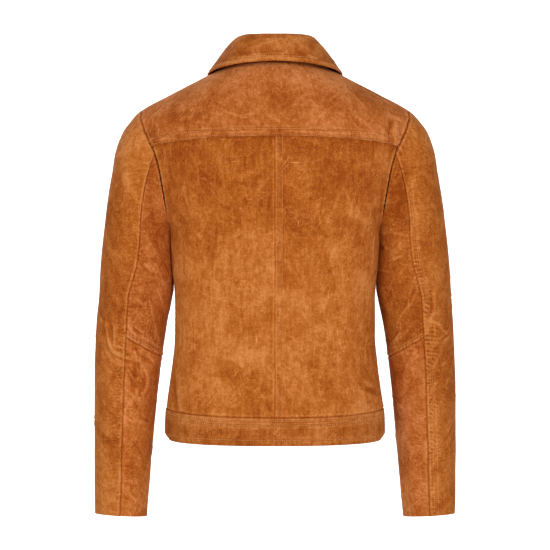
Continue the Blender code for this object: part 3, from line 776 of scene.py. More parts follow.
def fold_rise(points, arm):
    """How far the large folds about the elbow push the sleeve's surface out or in."""
    around = sleeve_around(points)
    rise = np.zeros(around.shape)
    for fold in named(FOLD_COLUMNS, SLEEVE_FOLDS):
        if fold["arm"] != arm:
            continue
        turned = (around - math.radians(fold["around"]) + math.pi) % (2 * math.pi) - math.pi
        across = SLEEVE["half_depth"](fold["height"]) * turned
        down = fold["height"] - points[..., 2]
        lean = math.radians(fold["slope"])
        lengthwise = across * math.cos(lean) - down * math.sin(lean)
        crosswise = across * math.sin(lean) + down * math.cos(lean)
        rise += fold["rise"] * bump(lengthwise, fold["length"]) * bump(crosswise, fold["width"])
    return rise


def sleeve_surface(first, last, top, bottom):
    """A stretch of the left sleeve between two armhole angles and two rows.

    Rows 0 to 1 are the cap, from the armhole to its ring, and 1 to 2 run on to the cuff.
    """
    def surface(across, down):
        across, down = np.broadcast_arrays(across, down)
        row = top + (bottom - top) * down
        angle = (first + (last - first) * across) % 360
        height = CAP_RING + np.clip(row - 1, 0, 1) * (CUFF - CAP_RING)
        ring = sleeve_ring(height, around_ring(angle, height))
        turned = np.where(angle <= 180, angle, 360 - angle)
        back = body(*armhole(turned, BACK), BACK)
        front = body(*armhole(turned, FRONT), FRONT)
        loop = np.where((angle <= 180)[..., None], back, front)
        around = around_ring(angle, CAP_RING)
        end = sleeve_ring(CAP_RING, around)
        along = unit(sleeve_ring(CAP_RING - 1, around) - end)
        chord = end - loop
        leave = chord + np.array(CAP_BULGE) * ((1 + np.cos(around)) / 2)[..., None]
        arrive = along * np.linalg.norm(chord, axis=-1, keepdims=True)
        t = np.clip(row, 0, 1)[..., None]
        cap = (loop * (2 * t ** 3 - 3 * t ** 2 + 1) + leave * (t ** 3 - 2 * t ** 2 + t)
               + end * (3 * t ** 2 - 2 * t ** 3) + arrive * (t ** 3 - t ** 2))
        return np.where((row < 1)[..., None], cap, ring)

    return surface


def neck_edge(station):
    """The neckline at collar stations, from the centre back (0) to the centre front (2)."""
    back = body(np.clip(station, 0, 1) * SIDE, 0.0, BACK)
    front = body(*neckline(np.clip(station - 1, 0, 1)), FRONT)
    return np.where((station <= 1)[..., None], back, front)


def collar_line(across):
    """Neckline, fold and edge of the collar, from its left front end (0) to its right (1)."""
    signed = 2 - 4 * across
    station = np.abs(signed)
    column = {name: curve(station)[..., None] for name, curve in COLLAR.items()}
    one = np.ones_like(signed)
    to_side = np.stack([np.sign(signed) + (signed == 0), one, one], axis=-1)
    bottom = neck_edge(station)
    outwards = unit(bottom * np.array((1.0, 1.0, 0.0)))
    up = np.array((0.0, 0.0, 1.0))
    fold = bottom - outwards * column["lean"] + up * column["rise"]
    edge = np.concatenate([column["edge_x"], column["edge_y"], column["edge_height"]], axis=-1)
    top = fold - outwards * COLLAR_WALL + up * SEAM_GAP
    crown = top + outwards * column["crown"] + up * CROWN_RISE
    return [part * to_side for part in (bottom, fold, edge, top, crown)]


def stand_surface(across, down):
    across, down = np.broadcast_arrays(across, down)
    bottom, fold, _, _, _ = collar_line(across)
    return fold + (bottom - fold) * down[..., None]


def lap_rise(x):
    """How far the right front, and what lies on it, stands proud of the left one."""
    return LAP_STEP * smoothstep((LAP_CLEAR - np.abs(x)) / (LAP_CLEAR - LAP_FULL))


def fall_surface(across, down):
    """The fall's underside, its low rows cleared of the body; make_collar moves it out to the outer
    side.
    """
    across, down = np.broadcast_arrays(across, down)
    _, _, edge, top, crown = collar_line(across)
    share = down[..., None]
    under = top * (1 - share) ** 2 + crown * 2 * share * (1 - share) + edge * share ** 2
    low = down[:, 0] > COLLAR_LOW_SHARE
    at_the_back = smoothstep(edge[..., 1:2] / COLLAR_BACK)
    under = under - np.array((0.0, COLLAR_DROP, 0.0)) * at_the_back * share ** 3
    under[low] = lifted(under[low], (COLLAR_CLEARANCE + lap_rise(under[..., 0]))[low])
    return under


# ---------------- fine grids

def spread(length, step, ends=(True, True), last_step=None):
    """Shares from 0 to 1 along a length, closer together near the ends asked for.

    The steps stay even, or change gradually to the last one where it is given.
    """
    low = EDGE_STEPS if ends[0] else EDGE_STEPS[:1]
    high = length - (EDGE_STEPS if ends[1] else EDGE_STEPS[:1])[::-1]
    span = high[0] - low[-1]
    mean = (step + (last_step or step)) / 2
    t = np.linspace(0, 1, max(2, round(span / mean)) + 1)[1:-1]
    middle = low[-1] + span * (step * t + (mean - step) * t ** 2) / mean
    return np.concatenate([low, middle, high]) / length


def even_grid(surface, columns, rows):
    """Points of a surface, at the given shares of the length of every row."""
    dense = np.linspace(0, 1, ROW_SAMPLES)
    length = travelled(surface(dense[None, :], rows[:, None]), 1)
    place = np.array([np.interp(columns * row[-1], row, dense) for row in length])
    return surface(place, rows[:, None])


def grid_normal(points):
    """Normals of a grid, from the ways down its columns and along its rows."""
    along = np.gradient(points, axis=1)
    return unit(np.cross(np.gradient(points, axis=0), along))


def cloth_noise(u, v, size, seed):
    """Smooth noise between -1 and 1 over distances on the cloth, in bumps of a given size."""
    table = np.random.default_rng(seed).uniform(-1, 1, (NOISE_CELLS + 1, NOISE_CELLS + 1))
    x, y = np.broadcast_arrays(u / size, v / size)
    i, j = np.floor(x).astype(int), np.floor(y).astype(int)
    fx, fy = smoothstep(x - i), smoothstep(y - j)
    i, j = i % NOISE_CELLS, j % NOISE_CELLS
    upper = table[i, j] * (1 - fx) + table[i + 1, j] * fx
    lower = table[i, j + 1] * (1 - fx) + table[i + 1, j + 1] * fx
    return upper * (1 - fy) + lower * fy


class Panel:
    """One cloth piece: a fine grid on its outer surface, and what sewing, wear and painted light and
    shade do to it.
    """

    def __init__(self, name, points, normal, side, thickness, held, seed):
        self.name = name
        self.points = points
        self.normal = normal
        self.side = side
        self.thickness = thickness
        self.held = held
        self.seed = seed
        self.across = travelled(points, 1)
        self.down = travelled(points, 0)
        self.width = self.across[:, -1:]
        self.height = self.down[-1:, :]
        self.rise = np.zeros(points.shape[:2])
        self.wear = np.zeros(points.shape[:2])
        self.stitches = []
        self.rounded = ()

    def distance(self, edge):
        return {"start": self.across, "end": self.width - self.across,
                "top": self.down, "bottom": self.height - self.down}[edge]

    def along(self, edge):
        """Distance along an edge, measured on the grid's own rows or columns."""
        if edge in ("start", "end"):
            return self.down + 0 * self.across
        return self.across + 0 * self.down

    def surface(self):
        return self.points + self.normal * self.rise[..., None]


def window(place, first, last, fade):
    return smoothstep((place - first) / fade) * smoothstep((last - place) / fade)


def seam_ridge(panel, edge, rise, at=3.2, width=2.2, dip=0.9, first=BEFORE_START, last=PAST_END,
               valley=1.6):
    """The seam allowance shows as a soft ridge beside the seam, and the seam as a dip."""
    distance = panel.distance(edge)
    along = panel.along(edge)
    uneven = 1 + 0.35 * cloth_noise(along, 0 * along, 17, panel.seed + 11)
    inside = window(along, first, last, 8)
    ridge = bump(distance - at, width) * uneven * inside
    panel.rise += rise * ridge - dip * bump(distance, valley) * inside
    panel.wear += RIDGE_WEAR * rise * bump(distance - at, 0.8 * width) * uneven * inside
    # Painted shade: the seam's dip is painted darker.
    panel.wear -= DIP_SHADE * dip * bump(distance, 0.8 * valley) * inside


def topstitch(panel, edge, inset, first=0.0, last=PAST_END, depth=1.0):
    """A row of stitches at a distance from an edge; it pulls the cloth in along a groove."""
    distance = panel.distance(edge) - inset
    along = panel.along(edge)
    inside = depth * window(along, first, last, 3)
    pulled = 1 + 0.35 * np.cos(math.pi * along / STITCH_PITCH)
    uneven = 1 + 0.5 * cloth_noise(along, 0 * along, 14, panel.seed + 13)
    beside = (bump(distance - SWELLING_INSET, SWELLING_HALF_WIDTH)
              + bump(distance + SWELLING_INSET, SWELLING_HALF_WIDTH))
    panel.rise -= GROOVE_DEPTH * bump(distance, GROOVE_HALF_WIDTH) * pulled * inside
    panel.rise += SWELLING_RISE * beside * uneven * inside
    # Painted shade: the stitched groove is painted darker; the swellings beside it are rubbed light.
    panel.wear -= GROOVE_SHADE * bump(distance, 1.0) * inside
    panel.wear += SWELLING_WEAR * beside * uneven * inside
    panel.stitches.append((edge, inset, first, last))


def puckers(panel, edge, reach, period, rise, first=0.0, last=PAST_END, vary=0, start=1.5,
            level=False):
    """Short creases that run away from a seam, or level, uneven in length, depth and spacing."""
    distance = panel.distance(edge)
    along = panel.along(edge)
    zero = 0 * along
    seed = panel.seed + vary
    drift = cloth_noise(along, zero, 4.2 * period, seed + 1)
    strength = np.clip(0.95 + 0.75 * cloth_noise(along, zero, 2.6 * period, seed + 2), 0.45, 1.6)
    length = reach * (0.9 + 0.5 * cloth_noise(along, zero, 1.9 * period, seed + 3))
    broken = np.clip(0.85 + 0.95 * cloth_noise(along, distance, 0.9 * period, seed + 5), 0.2, 1.4)
    lean = 0.16 * cloth_noise(along, zero, 7 * period, seed + 4) * distance
    place = -panel.points[..., 2] if level else along
    wave = np.cos(2 * math.pi * ((place + lean) / period + 0.8 * drift))
    fade = bump(distance, length) * smoothstep(distance / start)
    fade = fade * window(along, first, last, 2 * period) * broken
    panel.rise += rise * strength * fade * wave
    # The puckers' crests are rubbed light and their troughs are painted darker, as painted shade.
    panel.wear += PUCKER_SHADE_AND_WEAR * rise * strength * fade * wave


def press_crease(panel, face, x0, z0, x1, z1, bow, width, rise):
    """One listed crease: a ridge or trough with a shallow answer on one side."""
    run = np.array((x1 - x0, z1 - z0))
    length = np.linalg.norm(run)
    run = run / length
    away = panel.points[..., (0, 2)] - np.array((x0, z0))
    share = away @ run / length
    inside = np.clip(share, 0, 1)
    beside = away @ np.array((-run[1], run[0])) - bow * 4 * inside * (1 - inside)
    past = np.abs(share - inside) * length
    facing = smoothstep(panel.normal[..., 1] * face * 2.2)
    middle = np.sin(math.pi * inside)
    crest = bump(beside, width * (0.60 + 0.40 * middle)) * bump(past, width)
    answer = bump(beside - 1.9 * width, 1.1 * width) * bump(past, width)
    strength = (0.45 + 0.55 * middle) * facing
    panel.rise += rise * (crest - 0.45 * answer) * strength
    # Crests are rubbed light; troughs, and the shallow answer beside a ridge, are painted darker as
    # painted shade.
    colour = (PRESSED_RIDGE_SHADE_AND_WEAR if rise > 0 else PRESSED_TROUGH_SHADE) * min(1, 4 / width)
    panel.wear += colour * rise * (crest - 0.6 * answer) * strength


def rub(panel):
    """Uneven wear in patches a few centimetres wide."""
    large = cloth_noise(panel.across, panel.down, 34, panel.seed + 21)
    small = cloth_noise(panel.across, panel.down, 12, panel.seed + 22)
    panel.wear += RUBBED.get(panel.name, RUBBED_ELSEWHERE) * (large + 0.6 * small)


def scatter_creases(panel, count, length, upright, about=None):
    """Small creases left by wearing, most of them raised and light where the nap is rubbed; the
    sunk ones are painted darker as painted shade.

    They lie all over the panel, or about one place, given as its middle and its spread.
    """
    dice = np.random.default_rng(panel.seed + 17 + count)
    for _ in range(count):
        place = dice.normal(*about) if about else dice.uniform(0.05, 0.95, 2)
        reach = length * dice.uniform(0.4, 1.0)
        width = dice.uniform(1.3, 2.4)
        lean = dice.normal(math.pi / 2 if upright else 0.0, 0.35)
        bow = dice.uniform(-0.25, 0.25) * reach
        rise = dice.choice((0.75, 0.55, -0.50))
        across = panel.across - place[0] * panel.width.mean()
        down = panel.down - place[1] * panel.height.mean()
        run = across * math.cos(lean) + down * math.sin(lean)
        beside = down * math.cos(lean) - across * math.sin(lean) - bow * (run / reach) ** 2
        crease = rise * bump(run, reach) * bump(beside, width)
        panel.rise += crease
        panel.wear += CREASE_SHADE_AND_WEAR * crease


def undulate(panel, amount=1.0):
    """The soft, uneven lie of worn suede, fading out at the seams."""
    near = np.minimum.reduce([panel.distance(edge) for edge in EDGES])
    calm = smoothstep(near / 16)
    large = cloth_noise(panel.across, panel.down, 74, panel.seed)
    small = cloth_noise(panel.across, panel.down, 27, panel.seed + 5)
    fine = cloth_noise(panel.across, panel.down, 9, panel.seed + 6)
    panel.rise += amount * (0.9 * large + 0.32 * small) * calm + 0.07 * fine * smoothstep(near / 3)


# ---------------- meshes

def quad_mesh(name, points, quads):
    mesh = bpy.data.meshes.new(name)
    mesh.vertices.add(len(points))
    mesh.vertices.foreach_set("co", (points * MM).astype(np.float32).ravel())
    mesh.loops.add(quads.size)
    mesh.loops.foreach_set("vertex_index", quads.astype(np.int32).ravel())
    mesh.polygons.add(len(quads))
    mesh.polygons.foreach_set("loop_start", np.arange(0, quads.size, 4, dtype=np.int32))
    mesh.update(calc_edges=True)
    mesh.shade_smooth()
    return mesh


def add_object(name, data):
    thing = bpy.data.objects.new(name, data)
    bpy.context.scene.collection.objects.link(thing)
    return thing


def add_piece(name, mesh, material, slot, *nodes):
    """An object of the jacket, which rides on its one body and may replace CAD nodes."""
    piece = add_object(name, mesh)
    mesh.materials.append(material)
    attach(piece, "root")
    if nodes:
        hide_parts(*nodes)
    return piece


def grid_quads(rows, columns, offset, flip):
    index = offset + np.arange(rows * columns).reshape(rows, columns)
    corners = [index[:-1, :-1], index[1:, :-1], index[1:, 1:], index[:-1, 1:]]
    quads = np.stack(corners, axis=-1).reshape(-1, 4)
    return quads[:, ::-1] if flip else quads


def ring_quads(count, sides):
    """Quads between rings of points that follow each other, with as many points as sides."""
    index = np.arange(count * sides).reshape(count, sides)
    after = np.roll(index, -1, axis=1)
    return np.stack([index[:-1], after[:-1], after[1:], index[1:]], axis=-1).reshape(-1, 4)


def rim_quads(rows, columns, flip):
    index = np.arange(rows * columns).reshape(rows, columns)
    ring = np.concatenate([index[0, :-1], index[:-1, -1], index[-1, :0:-1], index[:0:-1, 0]])
    after = np.roll(ring, -1)
    inner = rows * columns
    quads = np.stack([ring, after, after + inner, ring + inner], axis=-1)
    return quads[:, ::-1] if flip else quads


def rounding(panel):
    """How much an outer and an inner face are drawn in, so that a folded edge is round."""
    if not panel.rounded:
        return np.zeros(panel.rise.shape)
    radius = panel.thickness / 2
    near = np.minimum.reduce([panel.distance(edge) for edge in panel.rounded])
    inside = np.clip(radius - near, 0, radius)
    return FOLDED_EDGE_ROUNDING * (radius - np.sqrt(radius ** 2 - inside ** 2))


def shell_mesh(panel):
    """A closed shell of cloth: the outer and the inner face of a panel, and the rim between."""
    rows, columns = panel.rise.shape
    cut = rounding(panel)
    outer = panel.points + panel.normal * (panel.rise - cut)[..., None]
    inner = panel.points + panel.normal * (panel.rise + cut - panel.thickness)[..., None]
    outward = np.cross(np.gradient(panel.points, axis=0), np.gradient(panel.points, axis=1))
    flip = np.mean(np.sum(outward * panel.normal, axis=-1)) < 0
    quads = np.concatenate([
        grid_quads(rows, columns, 0, flip),
        grid_quads(rows, columns, rows * columns, not flip),
        rim_quads(rows, columns, flip),
    ])
    points = np.concatenate([outer.reshape(-1, 3), inner.reshape(-1, 3)])
    mesh = quad_mesh(panel.name, points, quads)
    # The attribute holds wear with painted light and shade; the inner faces are painted darker.
    lightness_shift = SHADE_AND_WEAR_LIMIT * np.tanh(panel.wear.ravel() / SHADE_AND_WEAR_LIMIT)
    wear = np.concatenate([lightness_shift, np.full(lightness_shift.size, INSIDE_DARKENING)])
    layer = mesh.attributes.new("wear", "FLOAT", "POINT")
    layer.data.foreach_set("value", wear.astype(np.float32))
    return mesh


def sew(panel):
    material = suede_material(panel.name)
    piece = add_piece("suede_" + panel.name, shell_mesh(panel), material, "suede", panel.name)
    steps = np.cross(np.diff(panel.points, axis=0)[:, :-1], np.diff(panel.points, axis=1)[:-1])


def sampled(place, along, table):
    """Points of a line at places between those where it is known."""
    return np.stack([np.interp(place, along, table[:, k]) for k in range(3)], axis=-1)


def thread_line(panel, edge, inset, first, last):
    """Points and normals along a stitched line, on the finished surface."""
    surface, normal, distance = panel.surface(), panel.normal, panel.distance(edge)
    if edge in ("top", "bottom"):
        surface, normal, distance = surface.swapaxes(0, 1), normal.swapaxes(0, 1), distance.T
    line, directions = [], []
    for points, away, outward in zip(surface, distance, normal):
        if away.max() < inset:
            continue
        order = slice(None) if away[-1] > away[0] else slice(None, None, -1)
        line.append(sampled(inset, away[order], points[order]))
        directions.append(sampled(inset, away[order], outward[order]))
    line, directions = np.array(line), unit(np.array(directions))
    along = travelled(line, 0)
    keep = (along >= first) & (along <= last)
    return line[keep], directions[keep]


def stitch_points(line, directions):
    """Small bowed threads along a line, each sunk into the cloth at both ends."""
    along = travelled(line, 0)
    middle = np.arange(STITCH_PITCH, along[-1] - STITCH_PITCH, STITCH_PITCH)
    up = unit(sampled(middle, along, directions))
    ahead = unit(sampled(middle + 0.5, along, line) - sampled(middle - 0.5, along, line))
    side = np.cross(up, ahead)
    rings = []
    for ring in named(STITCH_COLUMNS, STITCH_RINGS):
        centre = sampled(middle + ring["share"] * STITCH_LENGTH / 2, along, line)
        centre = centre + up * (STITCH_LIFT + ring["lift"] * STITCH_RADIUS)
        for k in range(STITCH_SIDES):
            angle = 2 * math.pi * k / STITCH_SIDES
            corner = side * math.cos(angle) + up * math.sin(angle) * STITCH_FLATNESS
            rings.append(centre + corner * STITCH_RADIUS * ring["size"])
    return np.stack(rings, axis=1)


def sew_stitches(name, lines):
    """All the stitches of a set of lines, as one joined mesh."""
    long_enough = [line for line in lines if len(line[0]) > SHORTEST_LINE]
    stitches = np.concatenate([stitch_points(*line) for line in long_enough])
    count, corners = stitches.shape[:2]
    one = ring_quads(len(STITCH_RINGS), STITCH_SIDES)
    quads = (np.arange(count)[:, None, None] * corners + one).reshape(-1, 4)
    mesh = quad_mesh(name, stitches.reshape(-1, 3), quads)
    add_piece(name, mesh, thread_material(), "suede")


def joined(parts):
    """Points and quads of several parts, as one."""
    points, quads, count = [], [], 0
    for part, faces in parts:
        points.append(part)
        quads.append(faces + count)
        count += len(part)
    return np.concatenate(points), np.concatenate(quads)


def tube(line, radius):
    """A round thread along a line of points, as points and quads."""
    angle = np.linspace(0, 2 * math.pi, TUBE_SIDES, endpoint=False)[:, None]
    ahead = unit(np.gradient(line, axis=0))[:, None]
    side = unit(np.cross(ahead, np.array((0.0, 1.0, 0.02))))
    up = np.cross(side, ahead)
    points = line[:, None] + (side * np.cos(angle) + up * np.sin(angle)) * radius
    return points.reshape(-1, 3), ring_quads(len(line), TUBE_SIDES)


def sew_tubes(name, lines, radius):
    mesh = quad_mesh(name, *joined([tube(line, radius) for line in lines]))
    add_piece(name, mesh, thread_material(), "suede")


def turned(outline, steps):
    """A surface of revolution about Z through (radius, height) points, as points and quads."""
    angle = np.linspace(0, 2 * math.pi, steps, endpoint=False)
    radius, height = np.array(outline).T[..., None]
    rings = np.broadcast_arrays(radius * np.cos(angle), radius * np.sin(angle), height)
    return np.stack(rings, axis=-1).reshape(-1, 3), ring_quads(len(outline), steps)


# ---------------- materials

class Nodes:
    """A new material, with short names for adding and linking its shader nodes."""

    def __init__(self, name):
        self.material = bpy.data.materials.new(name)
        self.material.use_nodes = True
        self.tree = self.material.node_tree
        self.shader = self.tree.nodes["Principled BSDF"]

    def feed(self, node, values):
        """Set a node's sockets to numbers or colours, or link them to other nodes' results."""
        for name, value in values.items():
            socket = node.inputs[name]
            if isinstance(value, bpy.types.NodeSocket):
                self.tree.links.new(value, socket)
            elif socket.type == "RGBA":
                socket.default_value = (*value, 1.0)
            else:
                socket.default_value = value

    def add(self, kind, values, **settings):
        node = self.tree.nodes.new("ShaderNode" + kind)
        for name, setting in settings.items():
            setattr(node, name, setting)
        self.feed(node, values)
        return node

    def place(self):
        return self.add("TexCoord", {}).outputs["Object"]

    def mapping(self, source, shift=(0.0, 0.0, 0.0), stretch=1.0, lean=0.0):
        """Texture space moved, then stretched along a direction that leans from the upright."""
        values = {"Vector": source, "Location": shift, "Rotation": (0.0, math.radians(lean), 0.0),
                  "Scale": (1.0, 1.0, stretch)}
        return self.add("Mapping", values, vector_type="TEXTURE").outputs["Vector"]

    def noise(self, source, scale, detail=3.0, roughness=0.5, distortion=0.0):
        values = {"Vector": source, "Scale": scale, "Detail": detail, "Roughness": roughness,
                  "Distortion": distortion}
        return self.add("TexNoise", values).outputs["Fac"]

    def math(self, operation, first, second, clamp=False):
        values = {0: first, 1: second}
        return self.add("Math", values, operation=operation, use_clamp=clamp).outputs["Value"]

    def ramp(self, source, stops):
        node = self.add("ValToRGB", {"Fac": source})
        elements = node.color_ramp.elements
        elements[0].position, elements[1].position = stops[0][0], stops[-1][0]
        for position, _ in stops[1:-1]:
            elements.new(position)
        for element, (_, colour) in zip(elements, stops):
            element.color = (*colour, 1.0)
        return node.outputs["Color"]

    def mix(self, share, first, second):
        node = self.add("Mix", {}, data_type="RGBA")
        sockets = [number for number, socket in enumerate(node.inputs) if socket.enabled]
        self.feed(node, dict(zip(sockets, (share, first, second))))
        return next(socket for socket in node.outputs if socket.enabled)

    def scratches(self, source, lean, scale, patches):
        """Thin light lines that lean one way, in patches: the peaks of a much stretched noise."""
        lines = self.noise(self.mapping(source, stretch=16.0, lean=lean), scale, 2, 0.5, 0.25)
        peaks = self.math("MULTIPLY", self.math("SUBTRACT", lines, 0.61), 9.0, clamp=True)
        patchy = self.math("SUBTRACT", self.noise(source, patches, 2), 0.50)
        return self.math("MULTIPLY", peaks, self.math("MULTIPLY", patchy, 5.0, clamp=True))

    def bump(self, source, strength, distance):
        node = self.add("Bump", {"Strength": strength, "Distance": distance, "Height": source})
        self.feed(self.shader, {"Normal": node.outputs["Normal"]})


def toned(colour, light, red):
    """A colour made lighter, and redder (positive) or yellower (negative)."""
    r, g, b = colour
    return (r * light * (1 + 0.02 * red), g * light * (1 - 0.04 * red), b * light * (1 + 0.45 * red))


def suede_pattern(nodes, hide, piece):
    """How light the suede is from place to place (0 to 1): wear with painted light and shade,
    mottling, grain and streaks.
    """
    down = nodes.mapping(hide, stretch=10.0)
    across = nodes.mapping(hide, stretch=7.0, lean=90)
    upright, level = (0.35, 0.75) if piece.startswith("sleeve") else (0.70, 0.38)
    layers = (
        (nodes.noise(hide, 14, 2, 0.5, 0.6), 0.72),
        (nodes.noise(hide, 42, 4, 0.6, 1.4), 0.86),
        (nodes.noise(hide, 135, 3, 0.6, 0.6), 0.62),
        (nodes.noise(hide, 420, 2, 0.6), 0.85),
        (nodes.noise(hide, 1100, 2, 0.6), 0.60),
        (nodes.noise(down, 230, 3, 0.6, 0.2), upright),
        (nodes.noise(across, 420, 3, 0.6, 0.2), level),
    )
    # The attribute holds wear with painted light and shade.
    wear = nodes.add("Attribute", {}, attribute_name="wear").outputs["Fac"]
    total = nodes.math("MULTIPLY", wear, 0.62)
    for noise, weight in layers:
        part = nodes.math("MULTIPLY", nodes.math("SUBTRACT", noise, 0.5), weight)
        total = nodes.math("ADD", total, part)
    return nodes.math("ADD", total, 0.5, clamp=True)


def suede_material(piece):
    """Worn suede: its own tone of the jacket's colour, partly painted light and shade, light scuffs
    and a short nap.
    """
    nodes = Nodes("suede_" + piece)
    number = list(TONES_AND_SHADING).index(piece)
    tone, = named(TONE_COLUMNS, [TONES_AND_SHADING[piece]])
    hide = nodes.mapping(nodes.place(), shift=(0.83 * number, 1.37 * number, 0.59 * number))
    colour = nodes.ramp(suede_pattern(nodes, hide, piece), (
        (0.06, toned(SUEDE_DARK, **tone)),
        (0.50, toned(SUEDE_MIDDLE, **tone)),
        (0.94, toned(SUEDE_LIGHT, **tone)),
    ))
    scuffed = toned(SUEDE_LIGHT, 1.15 * tone["light"], tone["red"])
    for scratch in named(SCRATCH_COLUMNS, SCRATCHES):
        colour = nodes.mix(nodes.scratches(hide, **scratch), colour, scuffed)
    nap = nodes.math("ADD", nodes.noise(hide, 900, 3, 0.7), nodes.noise(hide, 260, 3, 0.6))
    nodes.bump(nap, 0.5, 0.0008)
    rough = nodes.math("ADD", nodes.math("MULTIPLY", nodes.noise(hide, 60, 2), 0.16), 0.82)
    nodes.feed(nodes.shader, {
        "Base Color": colour,
        "Roughness": rough,
        "Specular IOR Level": 0.10,
        "Sheen Weight": 0.12,
        "Sheen Roughness": 0.45,
        "Sheen Tint": (0.90, 0.42, 0.13),
    })
    return nodes.material


def grained_material(name, stretch, grain, stops, relief, rough, specular):
    """Thread or horn: a colour with a fine grain and a slight relief, made once."""
    material = bpy.data.materials.get(name)
    if material is None:
        nodes = Nodes(name)
        material = nodes.material
        place = nodes.place()
        along = nodes.mapping(place, stretch=stretch) if stretch else place
        nodes.bump(nodes.noise(place, *relief[:2]), relief[2], 0.0002)
        nodes.feed(nodes.shader, {
            "Base Color": nodes.ramp(nodes.noise(along, *grain), stops),
            "Roughness": rough,
            "Specular IOR Level": specular,
        })
    return material


def thread_material():
    stops = ((0.35, (0.60, 0.235, 0.066)), (0.65, (0.82, 0.405, 0.140)))
    return grained_material("thread", None, (300, 2), stops, (2600, 2, 0.4), 0.85, 0.08)


def horn_material():
    stops = (
        (0.30, (0.035, 0.012, 0.005)),
        (0.52, (0.125, 0.045, 0.016)),
        (0.72, (0.260, 0.110, 0.042)),
    )
    return grained_material("horn", 0.33, (160, 4, 0.6, 1.5), stops, (900, 2, 0.08), 0.38, 0.20)


# ---------------- the jacket's pieces

PANELS = []


def add_panel(name, points, normal, side=1, thickness=CLOTH, held="hung"):
    """A panel as it lies on the left side or across the middle (1), or its mirror image (-1)."""
    mirror = np.array((side, 1.0, 1.0))
    seed = FIRST_SEED + SEED_STEP * len(PANELS)
    panel = Panel(name, points * mirror, normal * mirror, side, thickness, held, seed)
    PANELS.append(panel)
    return panel


def tucked_top(points, normal):
    """The top edge of a panel, drawn up and in so that it lies behind the piece lapped over it."""
    below = travelled(points, 0)
    tuck = smoothstep(1 - below / TUCK_START)[..., None]
    upwards = unit(points[0] - points[len(EDGE_STEPS)])
    return points + upwards * TUCK * tuck - normal * TUCK_DEPTH * tuck


def make_backs():
    columns = spread(BACK_WIDTH, PANEL_STEP)
    rows = spread(BACK_LENGTH, PANEL_STEP)
    points = even_grid(back_surface(), columns, rows)
    normal = body_normal(points)
    points = tucked_top(points, normal)
    for side, name in ((1, "back_left"), (-1, "back_right")):
        dress_back(add_panel(name, points, normal, side))


def dress_back(panel):
    undulate(panel)
    scatter_creases(panel, 26, 26, upright=True)
    # Painted shadow: the back is painted darker just below the yoke's lapped edge.
    panel.wear -= 0.90 * bump(panel.distance("top") - 5.0, 2.8)
    panel.rise -= 0.35 * bump(panel.distance("top"), 8.0)
    seam_ridge(panel, "bottom", 0.4, dip=0.9, valley=2.0)
    puckers(panel, "bottom", 9, 7.5, 0.30)
    armhole_end = BACK_ARMHOLE_LENGTH
    seam_ridge(panel, "end", 1.2, at=3.8, width=2.6, dip=1.2, last=armhole_end, valley=2.2)
    puckers(panel, "end", 8, 9.0, 0.35, last=armhole_end, vary=3)
    seam_ridge(panel, "end", 0.5, first=armhole_end)
    puckers(panel, "end", 7, 8.0, 0.22, first=armhole_end, vary=6)
    seam_ridge(panel, "start", 0.60, at=2.0, width=1.7, dip=0.12)
    puckers(panel, "start", 9, 6.5, 0.20, vary=9)
    if panel.side < 0:
        panel.rise += 0.35 * smoothstep((13 - panel.distance("start")) / 3)
        topstitch(panel, "start", 10.6, depth=0.35)
        topstitch(panel, "start", 1.9, depth=0.35)


def make_yoke():
    columns = spread(YOKE_HALF_WIDTH, PANEL_STEP, ends=(True, False))
    rows = spread(YOKE_LENGTH, PANEL_STEP)
    half = even_grid(yoke_surface(), columns, rows)
    points = np.concatenate([half, mirrored(half)[:, -2::-1]], axis=1)
    panel = add_panel("back_yoke", points, body_normal(points))
    undulate(panel)
    scatter_creases(panel, 34, 30, upright=False)
    lapped = smoothstep((15.5 - panel.distance("bottom")) / 3.5)
    panel.rise += 0.95 * lapped
    panel.wear -= 0.20 * lapped
    panel.rounded = ("bottom",)
    topstitch(panel, "bottom", 2.8, depth=1.0)
    topstitch(panel, "bottom", 11.4, depth=1.1)
    puckers(panel, "bottom", 15, 6.5, 0.22, vary=856)
    for edge, vary in (("start", 860), ("end", 864)):
        seam_ridge(panel, edge, 1.0, at=3.4, width=2.6, dip=0.9, valley=1.9)
        puckers(panel, edge, 9, 9.0, 0.35, vary=vary)
    seam_ridge(panel, "top", 0.5, dip=0.5)


def make_fronts():
    columns = spread(FRONT_WIDTH, FRONT_STEP)
    rows = spread(FRONT_LENGTH, FRONT_STEP)
    points = even_grid(front_surface(), columns, rows)
    normal = body_normal(points)
    lapped = points + normal * lap_rise(points[..., 0])[..., None]
    for side, name, lie in ((1, "front_left", points), (-1, "front_right", lapped)):
        dress_front(add_panel(name, lie, normal, side))


def dress_front(panel):
    undulate(panel)
    scatter_creases(panel, 30, 26, upright=True)
    armhole_end = FRONT_ARMHOLE_LENGTH
    seam_ridge(panel, "end", 1.0, at=2.8, width=2.6, dip=0.4, last=armhole_end)
    puckers(panel, "end", 8, 9.0, 0.32, last=armhole_end, vary=3)
    seam_ridge(panel, "end", 0.5, first=armhole_end)
    seam_ridge(panel, "bottom", 0.5, dip=0.6)
    puckers(panel, "bottom", 9, 7.5, 0.30)
    seam_ridge(panel, "top", 0.6, at=3, dip=0.5)
    panel.rounded = ("start",)
    topstitch(panel, "start", 6.0, first=115)


